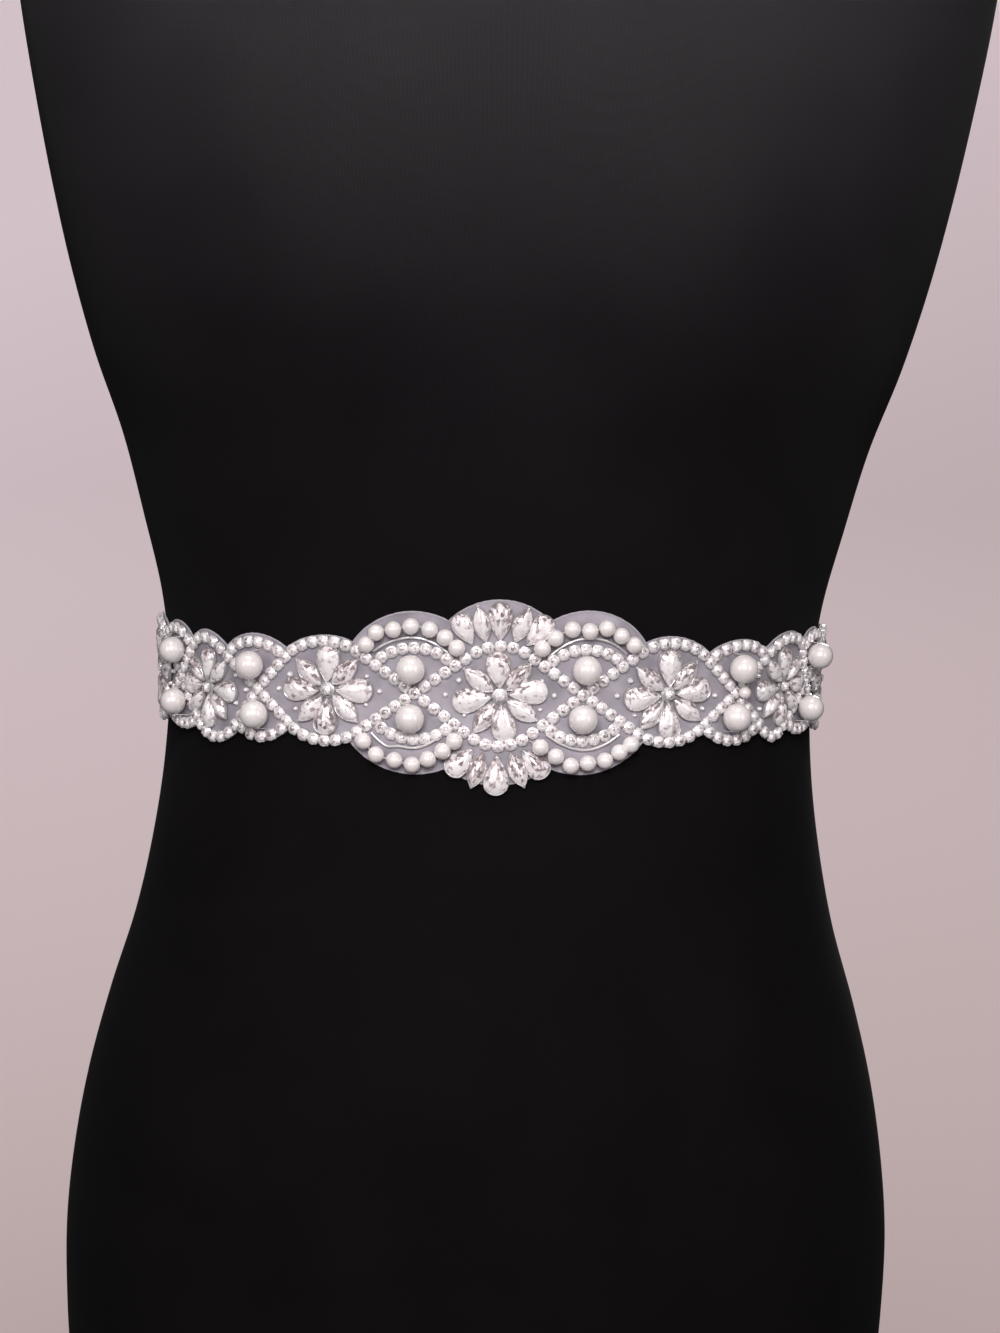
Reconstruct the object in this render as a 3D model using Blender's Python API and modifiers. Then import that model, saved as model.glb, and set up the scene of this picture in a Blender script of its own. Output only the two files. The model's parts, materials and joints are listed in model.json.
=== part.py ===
"""A beaded bridal sash, tied round the waist of a limbless table-top dress form.

The form stands on its flat base with the origin in the middle of that base, +Z up and the
front facing -Y; left and right are the viewer's, so left is -X. Lengths in the tables and in
the flat layouts are millimetres, and the finished meshes are metres.

The sash is laid out flat and then worn. A flat point (u, v, out) is u along the waist from
the centre front towards the right, v above the waistline and out proud of the form, and
wear() carries it to its place on the form.
"""

import math

import bmesh
import bpy
import numpy as np

MM = 0.001
WELD = 0.05 * MM

# The form: its waistline height, and how far the cloth stays off it.
WAIST = 285.0
CLEARANCE = 0.5
FORM_SIDES = 40
WAIST_FROM, WAIST_TO, WAIST_RING_STEP = 200.0, 345.0, 12.5
BUST_HEIGHT, BUST_APART, BUST_RISE = 430.0, 76.0, 14.0
BUST_WIDE, BUST_TALL = 48.0, 60.0

# One row for each level of the form, from the base to the top of the neck.
FORM_COLUMNS = ("height", "half_width", "front", "back", "squareness")
FORM_LEVELS = (
    (0.0, 151.5, 98.0, 118.0, 2.20),
    (40.0, 154.6, 104.0, 128.0, 2.20),
    (75.0, 155.0, 108.0, 134.0, 2.20),
    (102.0, 152.4, 110.0, 136.0, 2.20),
    (131.0, 147.4, 111.0, 133.0, 2.20),
    (160.0, 140.0, 110.0, 126.0, 2.20),
    (190.0, 131.0, 107.0, 114.0, 2.15),
    (220.0, 124.8, 102.0, 101.0, 2.15),
    (250.0, 120.9, 97.0, 90.0, 2.15),
    (285.0, 120.0, 94.0, 84.0, 2.15),
    (309.0, 122.9, 95.0, 84.0, 2.15),
    (339.0, 130.3, 100.0, 88.0, 2.15),
    (369.0, 138.5, 106.0, 94.0, 2.15),
    (398.0, 149.0, 112.0, 100.0, 2.20),
    (428.0, 157.8, 116.0, 106.0, 2.25),
    (458.0, 165.0, 115.0, 110.0, 2.30),
    (490.0, 171.6, 109.0, 113.0, 2.35),
    (530.0, 178.6, 96.0, 114.0, 2.45),
    (580.0, 184.0, 82.0, 110.0, 2.55),
    (618.0, 183.0, 69.0, 99.0, 2.60),
    (638.0, 172.0, 62.0, 90.0, 2.55),
    (653.0, 148.0, 57.0, 82.0, 2.45),
    (669.0, 113.0, 53.0, 74.0, 2.30),
    (683.0, 82.0, 50.0, 66.0, 2.15),
    (695.0, 66.0, 47.0, 59.0, 2.05),
    (725.0, 57.0, 45.0, 56.0, 2.00),
)

# The motif: rings round the flowers, with a lobe between each two rings. The chain passes
# from ring to ring and crosses itself at each lobe.
RING_RADIUS = 17.8
RING_PLACES = (0.0, 60.0, 112.0, 160.0)
CHAIN_END = 184.0
CHAIN_WIDTH = 3.4
CHAIN_STEP = 5.6
LOBE_ARCH_RADIUS, LOBE_ARCH_SPAN = 15.8, 52.0
LOBE_ARC_RADIUS = 17.2

# Layers, measured out from the form.
BACKING_WALL = 1.0
TRIM_LOW = 1.9
CHAIN_HIGH = 4.0
LAYER_STEP = 0.05

# The backing's scallops: one row for each, a circle about its place on the waistline.
SCALLOPS = (
    # place, radius
    (0.0, 33.8),
    (30.0, 28.4),
    (60.0, 20.0),
    (86.0, 19.4),
    (112.0, 20.0),
    (136.0, 19.4),
    (160.0, 20.0),
)
TAB_END, TAB_HALF_HEIGHT = 190.0, 11.0
BACKING_STEP, BACKING_ROWS = 5.0, 6

# Crystals: pear and navette outlines, standing from TRIM_LOW to GEM_HIGH.
GEM_HIGH, GEM_TABLE, GEM_SIDES = 5.0, 0.5, 8
PEAR_END, PEAR_SWELL = 0.96, 0.93
PETALS = (
    # angle, shape, start, length, width
    (0.0, "pear", 3.4, 13.2, 7.6),
    (45.0, "navette", 3.2, 12.2, 5.7),
    (90.0, "pear", 3.0, 12.6, 7.6),
    (135.0, "navette", 3.2, 12.2, 5.7),
    (180.0, "pear", 3.4, 13.2, 7.6),
    (225.0, "navette", 3.2, 12.2, 5.7),
    (270.0, "pear", 3.0, 12.6, 7.6),
    (315.0, "navette", 3.2, 12.2, 5.7),
)
HUB_RADIUS, HUB_HIGH, HUB_SIDES = 4.8, 3.2, 12
CENTRE_GEM_RADIUS, CENTRE_GEM_HIGH = 2.4, 5.4
FAN_CRYSTALS = (
    # foot across, foot up, tilt, shape, length, width
    (-8.8, 18.9, -40.0, "pear", 11.8, 7.6),
    (-4.6, 20.0, -20.0, "navette", 11.0, 5.4),
    (0.0, 20.2, 0.0, "pear", 12.8, 7.6),
    (4.6, 20.0, 20.0, "navette", 11.0, 5.4),
    (8.8, 18.9, 40.0, "pear", 11.8, 7.6),
)
FAN_BAR_RADIUS, FAN_BAR_SPAN, FAN_BAR_WIDTH = 22.0, 27.0, 2.6

# Pearls, and the wire that edges each arch of the first lobes.
LARGE_PEARL_RADIUS = 5.0
LARGE_PEARLS = (
    # place, height
    (30.0, 8.5),
    (86.0, 8.8),
    (136.0, 9.2),
)
SMALL_PEARL_RADIUS, SMALL_PEARLS = 2.85, 7
PEARL_ROW_RADIUS, PEARL_ROW_SHIFT = 23.8, 1.2
PEARL_ROW_FROM, PEARL_ROW_TO = -43.0, 41.0
BEAD_PROFILE = (
    # share of the step between pearls, radius
    (-0.33, 2.12),
    (0.0, SMALL_PEARL_RADIUS),
    (0.33, 2.12),
)
BEAD_NECK, BEAD_ROW_END = 0.7, 0.46
WIRE_RADIUS, WIRE_ROW_RADIUS = 0.45, 19.3
WIRE_FROM, WIRE_TO, WIRE_POINTS = -38.0, 44.0, 9

# The satin ties: from the backing's tabs round to a flat knot at the centre back.
SEAM_GAP = 0.3
SATIN_WALL = 1.0
KNOT_HALF_WIDTH, KNOT_HALF_HEIGHT, KNOT_DEEP = 9.0, 11.0, 13.0
KNOT_SQUARENESS, KNOT_FLAT = 0.6, 0.001
RIBBON_COLUMNS = ("share", "half_width", "pleat_depth")
RIBBON = (
    (0.00, 10.8, 0.7),
    (0.15, 15.5, 0.5),
    (0.40, 19.0, 0.3),
    (0.70, 16.5, 0.9),
    (0.90, 10.5, 2.2),
    (1.00, 8.0, 2.8),
)
RIBBON_PLEATS, RIBBON_FACES = 2, 20
TAIL_LENGTH, TAIL_SLANT = 214.0, 9.0
TAIL_COLUMNS = ("share", "centre", "half_width", "fold_depth")
TAIL = (
    (0.00, 4.9, 4.2, 2.4),
    (0.15, 9.5, 8.0, 2.6),
    (0.40, 16.0, 13.5, 1.8),
    (0.70, 21.0, 17.0, 1.0),
    (1.00, 25.0, 19.0, 0.6),
)
TAIL_FOLDS, TAIL_FACES_ACROSS, TAIL_FACES_DOWN = 1.5, 6, 16

FINISHES = {
    # name: colour, roughness, metallic
    "black_jersey": ((0.006, 0.005, 0.006), 0.75, 0.0),
    "organza": ((0.42, 0.40, 0.45), 0.50, 0.0),
    "rhinestone_chain": ((0.86, 0.83, 0.84), 0.18, 0.9),
    "crystal": ((0.90, 0.86, 0.86), 0.08, 0.6),
    "pearl": ((0.90, 0.86, 0.80), 0.22, 0.0),
    "silver_wire": ((0.80, 0.79, 0.80), 0.25, 1.0),
    "ivory_satin": ((0.86, 0.82, 0.76), 0.35, 0.0),
}


# Tables

def column(table, columns, name):
    """One named column of a table, as an array."""
    return np.array([row[columns.index(name)] for row in table])


def smooth_table(x, table, columns, name):
    """The named column at x, a cubic that passes through every row with no jump in slope."""
    xs = column(table, columns, columns[0])
    ys = column(table, columns, name)
    slopes = np.gradient(ys, xs)
    x = np.clip(x, xs[0], xs[-1])
    i = np.clip(np.searchsorted(xs, x) - 1, 0, len(xs) - 2)
    step = xs[i + 1] - xs[i]
    s = (x - xs[i]) / step
    return (
        (2 * s**3 - 3 * s**2 + 1) * ys[i]
        + (s**3 - 2 * s**2 + s) * step * slopes[i]
        + (3 * s**2 - 2 * s**3) * ys[i + 1]
        + (s**3 - s**2) * step * slopes[i + 1]
    )


# The form's surface, and the way from the flat layout onto it

def power(value, exponent):
    """The size of value raised to exponent, with value's sign."""
    return np.sign(value) * np.abs(value) ** exponent


def torso(turn, height):
    """The point of the form at an angle round from the front, and a height: a superellipse
    with one depth in front and another behind, and two low mounds for the bust."""
    across, ahead = np.sin(turn), np.cos(turn)
    level = {name: smooth_table(height, FORM_LEVELS, FORM_COLUMNS, name) for name in FORM_COLUMNS}
    exponent = 2.0 / level["squareness"]
    x = level["half_width"] * power(across, exponent)
    depth = np.where(ahead > 0, level["front"], level["back"])
    y = -depth * power(ahead, exponent)
    mound = np.exp(-(((np.abs(x) - BUST_APART) / BUST_WIDE) ** 2))
    mound = mound * np.exp(-(((height - BUST_HEIGHT) / BUST_TALL) ** 2))
    y = y - BUST_RISE * mound * np.clip(ahead, 0.0, 1.0)
    return np.stack([x, y, height + 0.0 * x], axis=-1)


def waist_lengths():
    """Angles round the waistline and the tape lengths to them from the centre front."""
    turns = np.linspace(-math.pi, math.pi, 4001)
    points = torso(turns, np.full_like(turns, WAIST))
    steps = np.linalg.norm(np.diff(points, axis=0), axis=1)
    lengths = np.concatenate([[0.0], np.cumsum(steps)])
    return turns, lengths - np.interp(0.0, turns, lengths)


TURNS, LENGTHS = waist_lengths()
BACK_CENTRE = LENGTHS[-1]


def wear(flat):
    """Flat points (u, v, out) in millimetres, worn on the form, in metres: each goes to the
    form's surface and then out along the surface's normal."""
    flat = np.asarray(flat, float)
    u = (flat[:, 0] + BACK_CENTRE) % (2 * BACK_CENTRE) - BACK_CENTRE
    turn = np.interp(u, LENGTHS, TURNS)
    height = WAIST + flat[:, 1]
    small_turn, small_rise = 0.002, 0.5
    along = torso(turn + small_turn, height) - torso(turn - small_turn, height)
    up = torso(turn, height + small_rise) - torso(turn, height - small_rise)
    normal = np.cross(along, up)
    normal /= np.linalg.norm(normal, axis=1)[:, None]
    return (torso(turn, height) + normal * flat[:, 2:3]) * MM


# Objects

def finish(name):
    """The material of the given name."""
    known = bpy.data.materials.get(name)
    if known:
        return known
    colour, roughness, metallic = FINISHES[name]
    material = bpy.data.materials.new(name)
    material.use_nodes = True
    shader = material.node_tree.nodes["Principled BSDF"]
    shader.inputs["Base Color"].default_value = (*colour, 1.0)
    shader.inputs["Roughness"].default_value = roughness
    shader.inputs["Metallic"].default_value = metallic
    return material


def new_object(name, mesh, collection, finish_name=None):
    """An object of the mesh, linked to the collection, in its finish."""
    piece = bpy.data.objects.new(name, mesh)
    collection.objects.link(piece)
    if finish_name:
        mesh.materials.clear()
        mesh.materials.append(finish(finish_name))
    return piece


def points_of(mesh):
    """The mesh's points as an array."""
    flat = np.empty(len(mesh.vertices) * 3)
    mesh.vertices.foreach_get("co", flat)
    return flat.reshape(-1, 3)


def wear_mesh(mesh, centre=0.0):
    """Moves a flat mesh along the waist to its centre, and wears it."""
    flat = points_of(mesh) + np.array([centre, 0.0, 0.0])
    mesh.vertices.foreach_set("co", wear(flat).ravel())
    mesh.update()
    return mesh


def taken_mesh(piece):
    """The piece's evaluated mesh, in three-sided faces with its caps welded; the piece and
    its own data go."""
    graph = bpy.context.evaluated_depsgraph_get()
    mesh = bpy.data.meshes.new_from_object(piece.evaluated_get(graph))
    bpy.data.objects.remove(piece)
    work = bmesh.new()
    work.from_mesh(mesh)
    bmesh.ops.remove_doubles(work, verts=work.verts, dist=WELD)
    bmesh.ops.triangulate(work, faces=work.faces)
    work.to_mesh(mesh)
    work.free()
    return mesh


def united(pieces):
    """One closed mesh from overlapping pieces, joined to the first by Boolean unions."""
    base, others = pieces[0], pieces[1:]
    for other in others:
        join = base.modifiers.new("join", "BOOLEAN")
        join.operation = "UNION"
        join.solver = "EXACT"
        join.object = other
    mesh = taken_mesh(base)
    for other in others:
        bpy.data.objects.remove(other)
    return mesh


# Flat shapes, in millimetres

def flat_grid(along, across, shape):
    """An open sheet of along by across faces whose points shape() places, from two arrays
    of shares: 0 to 1 along and -1 to 1 across. It faces out when along x across does."""
    work = bmesh.new()
    bmesh.ops.create_grid(work, x_segments=along, y_segments=across, size=1.0)
    mesh = bpy.data.meshes.new("sheet")
    work.to_mesh(mesh)
    work.free()
    shares = points_of(mesh)
    placed = shape((shares[:, 0] + 1) / 2, shares[:, 1])
    mesh.vertices.foreach_set("co", np.asarray(placed).ravel())
    mesh.update()
    return mesh


def walled(piece, wall):
    """Gives an open sheet its wall, on the outer side."""
    solid = piece.modifiers.new("wall", "SOLIDIFY")
    solid.thickness = wall
    solid.offset = 1.0
    return piece


def strip(path, width, low, high, scratch):
    """A flat bar of the given width along a path, standing from low to high."""
    path = np.asarray(path, float)
    heading = np.gradient(path, axis=0)
    heading /= np.linalg.norm(heading, axis=1)[:, None]
    left = np.stack([-heading[:, 1], heading[:, 0]], axis=1)
    last = len(path) - 1

    def shape(share, side):
        index = np.rint(share * last).astype(int)
        flat = path[index] + left[index] * (side * width / 2)[:, None]
        return np.column_stack([flat, np.full(len(flat), low)])

    piece = new_object("bar", flat_grid(last, 1, shape), scratch)
    return walled(piece, high - low)


def arc(centre, radius, start, end, step):
    """Points on a circle from one angle to another, in degrees clockwise from straight up."""
    count = max(3, round(math.radians(abs(end - start)) * radius / step) + 1)
    angles = np.radians(np.linspace(start, end, count))
    return np.stack([centre + radius * np.sin(angles), radius * np.cos(angles)], axis=1)


def gem_outline(shape, length, width):
    """A crystal's outline from its pointed foot at (0, 0) along +X: a navette, pointed at
    both ends, or a pear, pointed at the foot and round at the far end. A pear's half width
    is the product sin(s) sin(s/2), which swells past the middle, over its own peak."""
    t = np.linspace(0.0, math.pi, GEM_SIDES // 2 + 1)
    if shape == "navette":
        x = length / 2 * (1 - np.cos(t))
        y = width / 2 * np.sin(t) ** 2
    else:
        x = length * (1 - np.cos(t * PEAR_END)) / (1 - math.cos(math.pi * PEAR_END))
        peak = 4 / (3 * math.sqrt(3))
        y = width / 2 * np.sin(t * PEAR_SWELL) * np.sin(t * PEAR_SWELL / 2) / peak
    lower = np.stack([x, -y], axis=1)
    upper = np.stack([x, y], axis=1)
    closed_end = y[-1] < 0.01
    return np.concatenate([lower, upper[::-1][1 if closed_end else 0 : -1]])


def round_outline(radius, sides):
    """A circle's outline."""
    angles = np.linspace(0.0, 2 * math.pi, sides, endpoint=False)
    return radius * np.stack([np.cos(angles), np.sin(angles)], axis=1)


def cut_stone(outline, low, high, table, place, angle, scratch):
    """A stone: its outline drawn at low, raised to high and narrowed to its table, then
    turned by an angle in degrees and moved to its place."""
    work = bmesh.new()
    corners = [work.verts.new((x, y, low)) for x, y in outline]
    floor = work.faces.new(corners)
    raised = bmesh.ops.extrude_face_region(work, geom=[floor], use_keep_orig=True)
    top = [item for item in raised["geom"] if isinstance(item, bmesh.types.BMVert)]
    middle = outline.mean(axis=0)
    for corner in top:
        corner.co.x = middle[0] + (corner.co.x - middle[0]) * table
        corner.co.y = middle[1] + (corner.co.y - middle[1]) * table
        corner.co.z = high
    bmesh.ops.recalc_face_normals(work, faces=work.faces)
    mesh = bpy.data.meshes.new("stone")
    work.to_mesh(mesh)
    work.free()
    stone = new_object("stone", mesh, scratch)
    turn = math.radians(angle)
    points = points_of(mesh)
    turned = points.copy()
    turned[:, 0] = place[0] + points[:, 0] * math.cos(turn) - points[:, 1] * math.sin(turn)
    turned[:, 1] = place[1] + points[:, 0] * math.sin(turn) + points[:, 1] * math.cos(turn)
    mesh.vertices.foreach_set("co", turned.ravel())
    mesh.update()
    return stone


def rod(path, radii, out, sides, scratch):
    """A round rod along a flat path, with a radius at each point, at a height out."""
    curve = bpy.data.curves.new("rod", "CURVE")
    curve.dimensions = "3D"
    curve.bevel_depth = 1.0
    curve.bevel_resolution = sides
    curve.use_fill_caps = True
    spline = curve.splines.new("POLY")
    spline.points.add(len(path) - 1)
    for point, (x, y), radius in zip(spline.points, path, radii):
        point.co = (x, y, out, 1.0)
        point.radius = radius
    return taken_mesh(new_object("rod", curve, scratch))


# The pieces

def form_heights():
    """The heights of the form's rings: its levels, with closer ones under the sash."""
    levels = column(FORM_LEVELS, FORM_COLUMNS, "height")
    heights = [levels[0]]
    for low, high in zip(levels, levels[1:]):
        under_sash = WAIST_FROM < (low + high) / 2 < WAIST_TO
        count = math.ceil((high - low) / WAIST_RING_STEP) if under_sash else 1
        heights += list(np.linspace(low, high, count + 1)[1:])
    return heights


def build_form(parts):
    """The limbless form: superellipse rings, one for each height, closed by flat ends."""
    turns = np.linspace(0.0, 2 * math.pi, FORM_SIDES, endpoint=False)
    work = bmesh.new()
    rings = []
    for height in form_heights():
        points = torso(turns, np.full_like(turns, height)) * MM
        rings.append([work.verts.new(point) for point in points])
    for lower, upper in zip(rings, rings[1:]):
        for i in range(FORM_SIDES):
            j = (i + 1) % FORM_SIDES
            work.faces.new((lower[i], lower[j], upper[j], upper[i]))
    work.faces.new(rings[0][::-1])
    work.faces.new(rings[-1])
    mesh = bpy.data.meshes.new("form")
    work.to_mesh(mesh)
    work.free()
    mesh.shade_smooth()
    mesh.set_sharp_from_angle(angle=math.radians(50.0))
    new_object("form", mesh, parts, "black_jersey")


def scallop_edge(u):
    """Half the backing's height at u: the highest of the scallops' circles and the tab."""
    u = np.abs(np.asarray(u, float))
    edge = np.full_like(u, TAB_HALF_HEIGHT)
    for place, radius in SCALLOPS:
        edge = np.maximum(edge, np.sqrt(np.clip(radius**2 - (u - place) ** 2, 0.0, None)))
    return edge


def backing_stations():
    """The backing's columns along the waist: each valley between scallops, each scallop's
    top, and equal steps between them."""
    stops = [0.0]
    for (place, radius), (following, next_radius) in zip(SCALLOPS, SCALLOPS[1:]):
        valley = (place + following) / 2 + (radius**2 - next_radius**2) / (2 * (following - place))
        stops += [valley, following]
    last_place, last_radius = SCALLOPS[-1]
    stops += [last_place + math.sqrt(last_radius**2 - TAB_HALF_HEIGHT**2), TAB_END]
    right = [0.0]
    for start, end in zip(stops, stops[1:]):
        count = max(1, round((end - start) / BACKING_STEP))
        right += list(np.linspace(start, end, count + 1)[1:])
    right = np.array(right)
    return np.concatenate([-right[:0:-1], right])


def build_backing(parts):
    """The scalloped organza backing that carries the beading."""
    stations = backing_stations()
    last = len(stations) - 1

    def shape(share, side):
        u = stations[np.rint(share * last).astype(int)]
        return np.column_stack([u, side * scallop_edge(u), np.full(len(u), CLEARANCE)])

    mesh = wear_mesh(flat_grid(last, BACKING_ROWS, shape))
    walled(new_object("backing", mesh, parts, "organza"), BACKING_WALL * MM)


def guilloche(side):
    """One chain's way: round each ring in turn, above one and below the next, with straight
    runs that cross the waistline at the lobes. The first ring at the middle is passed on
    the given side, 1 above or -1 below."""
    places = [-place for place in RING_PLACES[:0:-1]] + list(RING_PLACES)
    crossings = [(a + b) / 2 for a, b in zip(places, places[1:])]
    crossings = [-CHAIN_END] + crossings + [CHAIN_END]
    corners = [np.array([-CHAIN_END, 0.0])]
    for index, place in enumerate(places):
        sign = side * (-1) ** (index - len(RING_PLACES) + 1)
        before = math.degrees(math.asin(RING_RADIUS / (place - crossings[index])))
        after = math.degrees(math.asin(RING_RADIUS / (crossings[index + 1] - place)))
        bend = arc(place, RING_RADIUS, -before, after, CHAIN_STEP)
        corners += list(bend * np.array([1.0, sign]))
    corners.append(np.array([CHAIN_END, 0.0]))
    path = [corners[0]]
    for start, end in zip(corners, corners[1:]):
        count = max(1, round(np.linalg.norm(end - start) / CHAIN_STEP))
        path += [start + (end - start) * k / count for k in range(1, count + 1)]
    return np.array(path)


def lobe_places():
    """Each lobe's place on the right half, with half the distance between its rings."""
    pairs = zip(RING_PLACES, RING_PLACES[1:])
    return [((a + b) / 2, (b - a) / 2) for a, b in pairs]


def build_chain(parts, scratch):
    """The rhinestone chain: two interlaced runs, an arch over each pearl of the first lobes
    and an arc round the outside of the other lobes, all joined."""
    paths = [guilloche(1), guilloche(-1)]
    for number, (place, half) in enumerate(lobe_places()):
        if number == 0:
            radius, span = LOBE_ARCH_RADIUS, LOBE_ARCH_SPAN
        else:
            radius = LOBE_ARC_RADIUS
            span = math.degrees(math.asin(half / 2 / radius))
        for way in (1, -1):
            bow = arc(0.0, radius, -span, span, CHAIN_STEP)
            for side in (1, -1):
                paths.append(bow * np.array([1.0, side]) + np.array([way * place, 0.0]))
    bars = []
    for number, path in enumerate(paths):
        inset = min(number, 2) * LAYER_STEP
        bars.append(strip(path, CHAIN_WIDTH, TRIM_LOW + inset, CHAIN_HIGH - inset, scratch))
    new_object("chain_lattice", wear_mesh(united(bars)), parts, "rhinestone_chain")


def flower_mesh(scratch):
    """A flat flower: crystals round a hub, with a small round stone in the middle."""
    stones = []
    for angle, shape, start, length, width in PETALS:
        turn = math.radians(angle)
        foot = (start * math.cos(turn), start * math.sin(turn))
        outline = gem_outline(shape, length, width)
        stones.append(cut_stone(outline, TRIM_LOW, GEM_HIGH, GEM_TABLE, foot, angle, scratch))
    hub_low = TRIM_LOW + LAYER_STEP
    hub = cut_stone(
        round_outline(HUB_RADIUS, HUB_SIDES), hub_low, HUB_HIGH, 1.0, (0, 0), 90 / HUB_SIDES,
        scratch,
    )
    middle = cut_stone(
        round_outline(CENTRE_GEM_RADIUS, GEM_SIDES), hub_low + LAYER_STEP, CENTRE_GEM_HIGH,
        GEM_TABLE, (0, 0), 0.0, scratch,
    )
    return united([hub, *stones, middle])


def build_flowers(parts, scratch):
    """A flower in each ring."""
    pattern = flower_mesh(scratch)
    for number, place in enumerate(RING_PLACES):
        for name, way in (("left", -1), ("right", 1)):
            if number == 0 and way < 0:
                continue
            label = "flower_centre" if number == 0 else f"flower_{name}_{number}"
            new_object(label, wear_mesh(pattern.copy(), way * place), parts, "crystal")


def build_fans(parts, scratch):
    """The fans of crystals above and below the middle ring, each on a short bar."""
    for name, side in (("top", 1), ("bottom", -1)):
        bow = arc(0.0, FAN_BAR_RADIUS, -FAN_BAR_SPAN, FAN_BAR_SPAN, CHAIN_STEP)
        bar_low = TRIM_LOW + LAYER_STEP
        bar = strip(bow * np.array([1.0, side]), FAN_BAR_WIDTH, bar_low, HUB_HIGH, scratch)
        stones = [bar]
        for across, up, tilt, shape, length, width in FAN_CRYSTALS:
            outline = gem_outline(shape, length, width)
            angle = side * (90.0 - tilt)
            foot = (across, side * up)
            stones.append(cut_stone(outline, TRIM_LOW, GEM_HIGH, GEM_TABLE, foot, angle, scratch))
        new_object(f"fan_{name}", wear_mesh(united(stones)), parts, "crystal")


def build_large_pearls(parts):
    """Pairs of large pearls, one above and one below each crossing."""
    work = bmesh.new()
    radius = LARGE_PEARL_RADIUS * MM
    bmesh.ops.create_uvsphere(work, u_segments=8, v_segments=6, radius=radius)
    pattern = bpy.data.meshes.new("large_pearl")
    work.to_mesh(pattern)
    work.free()
    pattern.shade_smooth()
    for number, (place, height) in enumerate(LARGE_PEARLS, start=1):
        for name, way in (("left", -1), ("right", 1)):
            for level, side in (("top", 1), ("bottom", -1)):
                pearl = new_object(f"pearl_{name}_{number}_{level}", pattern, parts, "pearl")
                centre = (way * place, side * height, TRIM_LOW + LARGE_PEARL_RADIUS)
                pearl.location = wear([centre])[0]


def pearl_row():
    """A row of small pearls as a rod's points and radii: each pearl is three points, and
    the thread between two pearls is one."""
    step = (PEARL_ROW_TO - PEARL_ROW_FROM) / (SMALL_PEARLS - 1)
    angles, radii = [], []
    for number in range(SMALL_PEARLS):
        middle = PEARL_ROW_FROM + number * step
        angles.append(middle - step * (0.5 if number else BEAD_ROW_END))
        radii.append(BEAD_NECK)
        for share, radius in BEAD_PROFILE:
            angles.append(middle + share * step)
            radii.append(radius)
    angles.append(PEARL_ROW_TO + step * BEAD_ROW_END)
    radii.append(BEAD_NECK)
    turns = np.radians(angles)
    return PEARL_ROW_RADIUS * np.stack([np.sin(turns), np.cos(turns)], axis=1), radii


def build_lobe_rows(parts, scratch):
    """Round the outside of the first lobes: a silver wire, then a row of small pearls. The
    pearls' circle is centred a little further from the middle flower than the lobe is."""
    place = lobe_places()[0][0]
    beads, bead_radii = pearl_row()
    wire = arc(0.0, WIRE_ROW_RADIUS, WIRE_FROM, WIRE_TO, 1.0)
    wire = wire[np.rint(np.linspace(0, len(wire) - 1, WIRE_POINTS)).astype(int)]
    wire_radii = [WIRE_RADIUS] * WIRE_POINTS
    for name, way in (("left", -1), ("right", 1)):
        for level, side in (("top", 1), ("bottom", -1)):
            mirror = np.array([way, side])
            row = beads * mirror + np.array([way * (place + PEARL_ROW_SHIFT), 0.0])
            pearl_out = TRIM_LOW + SMALL_PEARL_RADIUS
            mesh = wear_mesh(rod(row, bead_radii, pearl_out, 2, scratch))
            new_object(f"pearl_row_{name}_{level}", mesh, parts, "pearl")
            line = wire * mirror + np.array([way * place, 0.0])
            mesh = wear_mesh(rod(line, wire_radii, TRIM_LOW + WIRE_RADIUS, 1, scratch))
            new_object(f"wire_{name}_{level}", mesh, parts, "silver_wire")


def build_ribbons(parts):
    """The satin ties: gathered on the tab, opened to the ribbon's width at the side back and
    drawn into pleats at the knot."""
    start = TAB_END + SEAM_GAP
    end = BACK_CENTRE - KNOT_HALF_WIDTH - SEAM_GAP
    for name, way in (("left", -1), ("right", 1)):

        def shape(share, side, way=way):
            run = share if way > 0 else 1.0 - share
            u = way * (start + (end - start) * run)
            half = smooth_table(run, RIBBON, RIBBON_COLUMNS, "half_width")
            depth = smooth_table(run, RIBBON, RIBBON_COLUMNS, "pleat_depth")
            pleat = (1 - np.cos(2 * math.pi * RIBBON_PLEATS * (side + 1) / 2)) / 2
            return np.column_stack([u, half * side, CLEARANCE + depth * pleat])

        mesh = wear_mesh(flat_grid(RIBBON_FACES, 4 * RIBBON_PLEATS, shape))
        walled(new_object(f"ribbon_{name}", mesh, parts, "ivory_satin"), SATIN_WALL * MM)


def build_knot(parts):
    """The flat knot at the centre back: a round block with square shoulders."""
    work = bmesh.new()
    bmesh.ops.create_uvsphere(work, u_segments=12, v_segments=8, radius=1.0)
    mesh = bpy.data.meshes.new("knot")
    work.to_mesh(mesh)
    work.free()
    block = power(points_of(mesh), KNOT_SQUARENESS)
    block[np.abs(block) < KNOT_FLAT] = 0.0
    size = np.array([KNOT_HALF_WIDTH, KNOT_HALF_HEIGHT, KNOT_DEEP / 2])
    middle = np.array([BACK_CENTRE, 0.0, CLEARANCE + KNOT_DEEP / 2])
    mesh.vertices.foreach_set("co", wear(block * size + middle).ravel())
    mesh.update()
    new_object("knot", mesh, parts, "ivory_satin")


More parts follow.
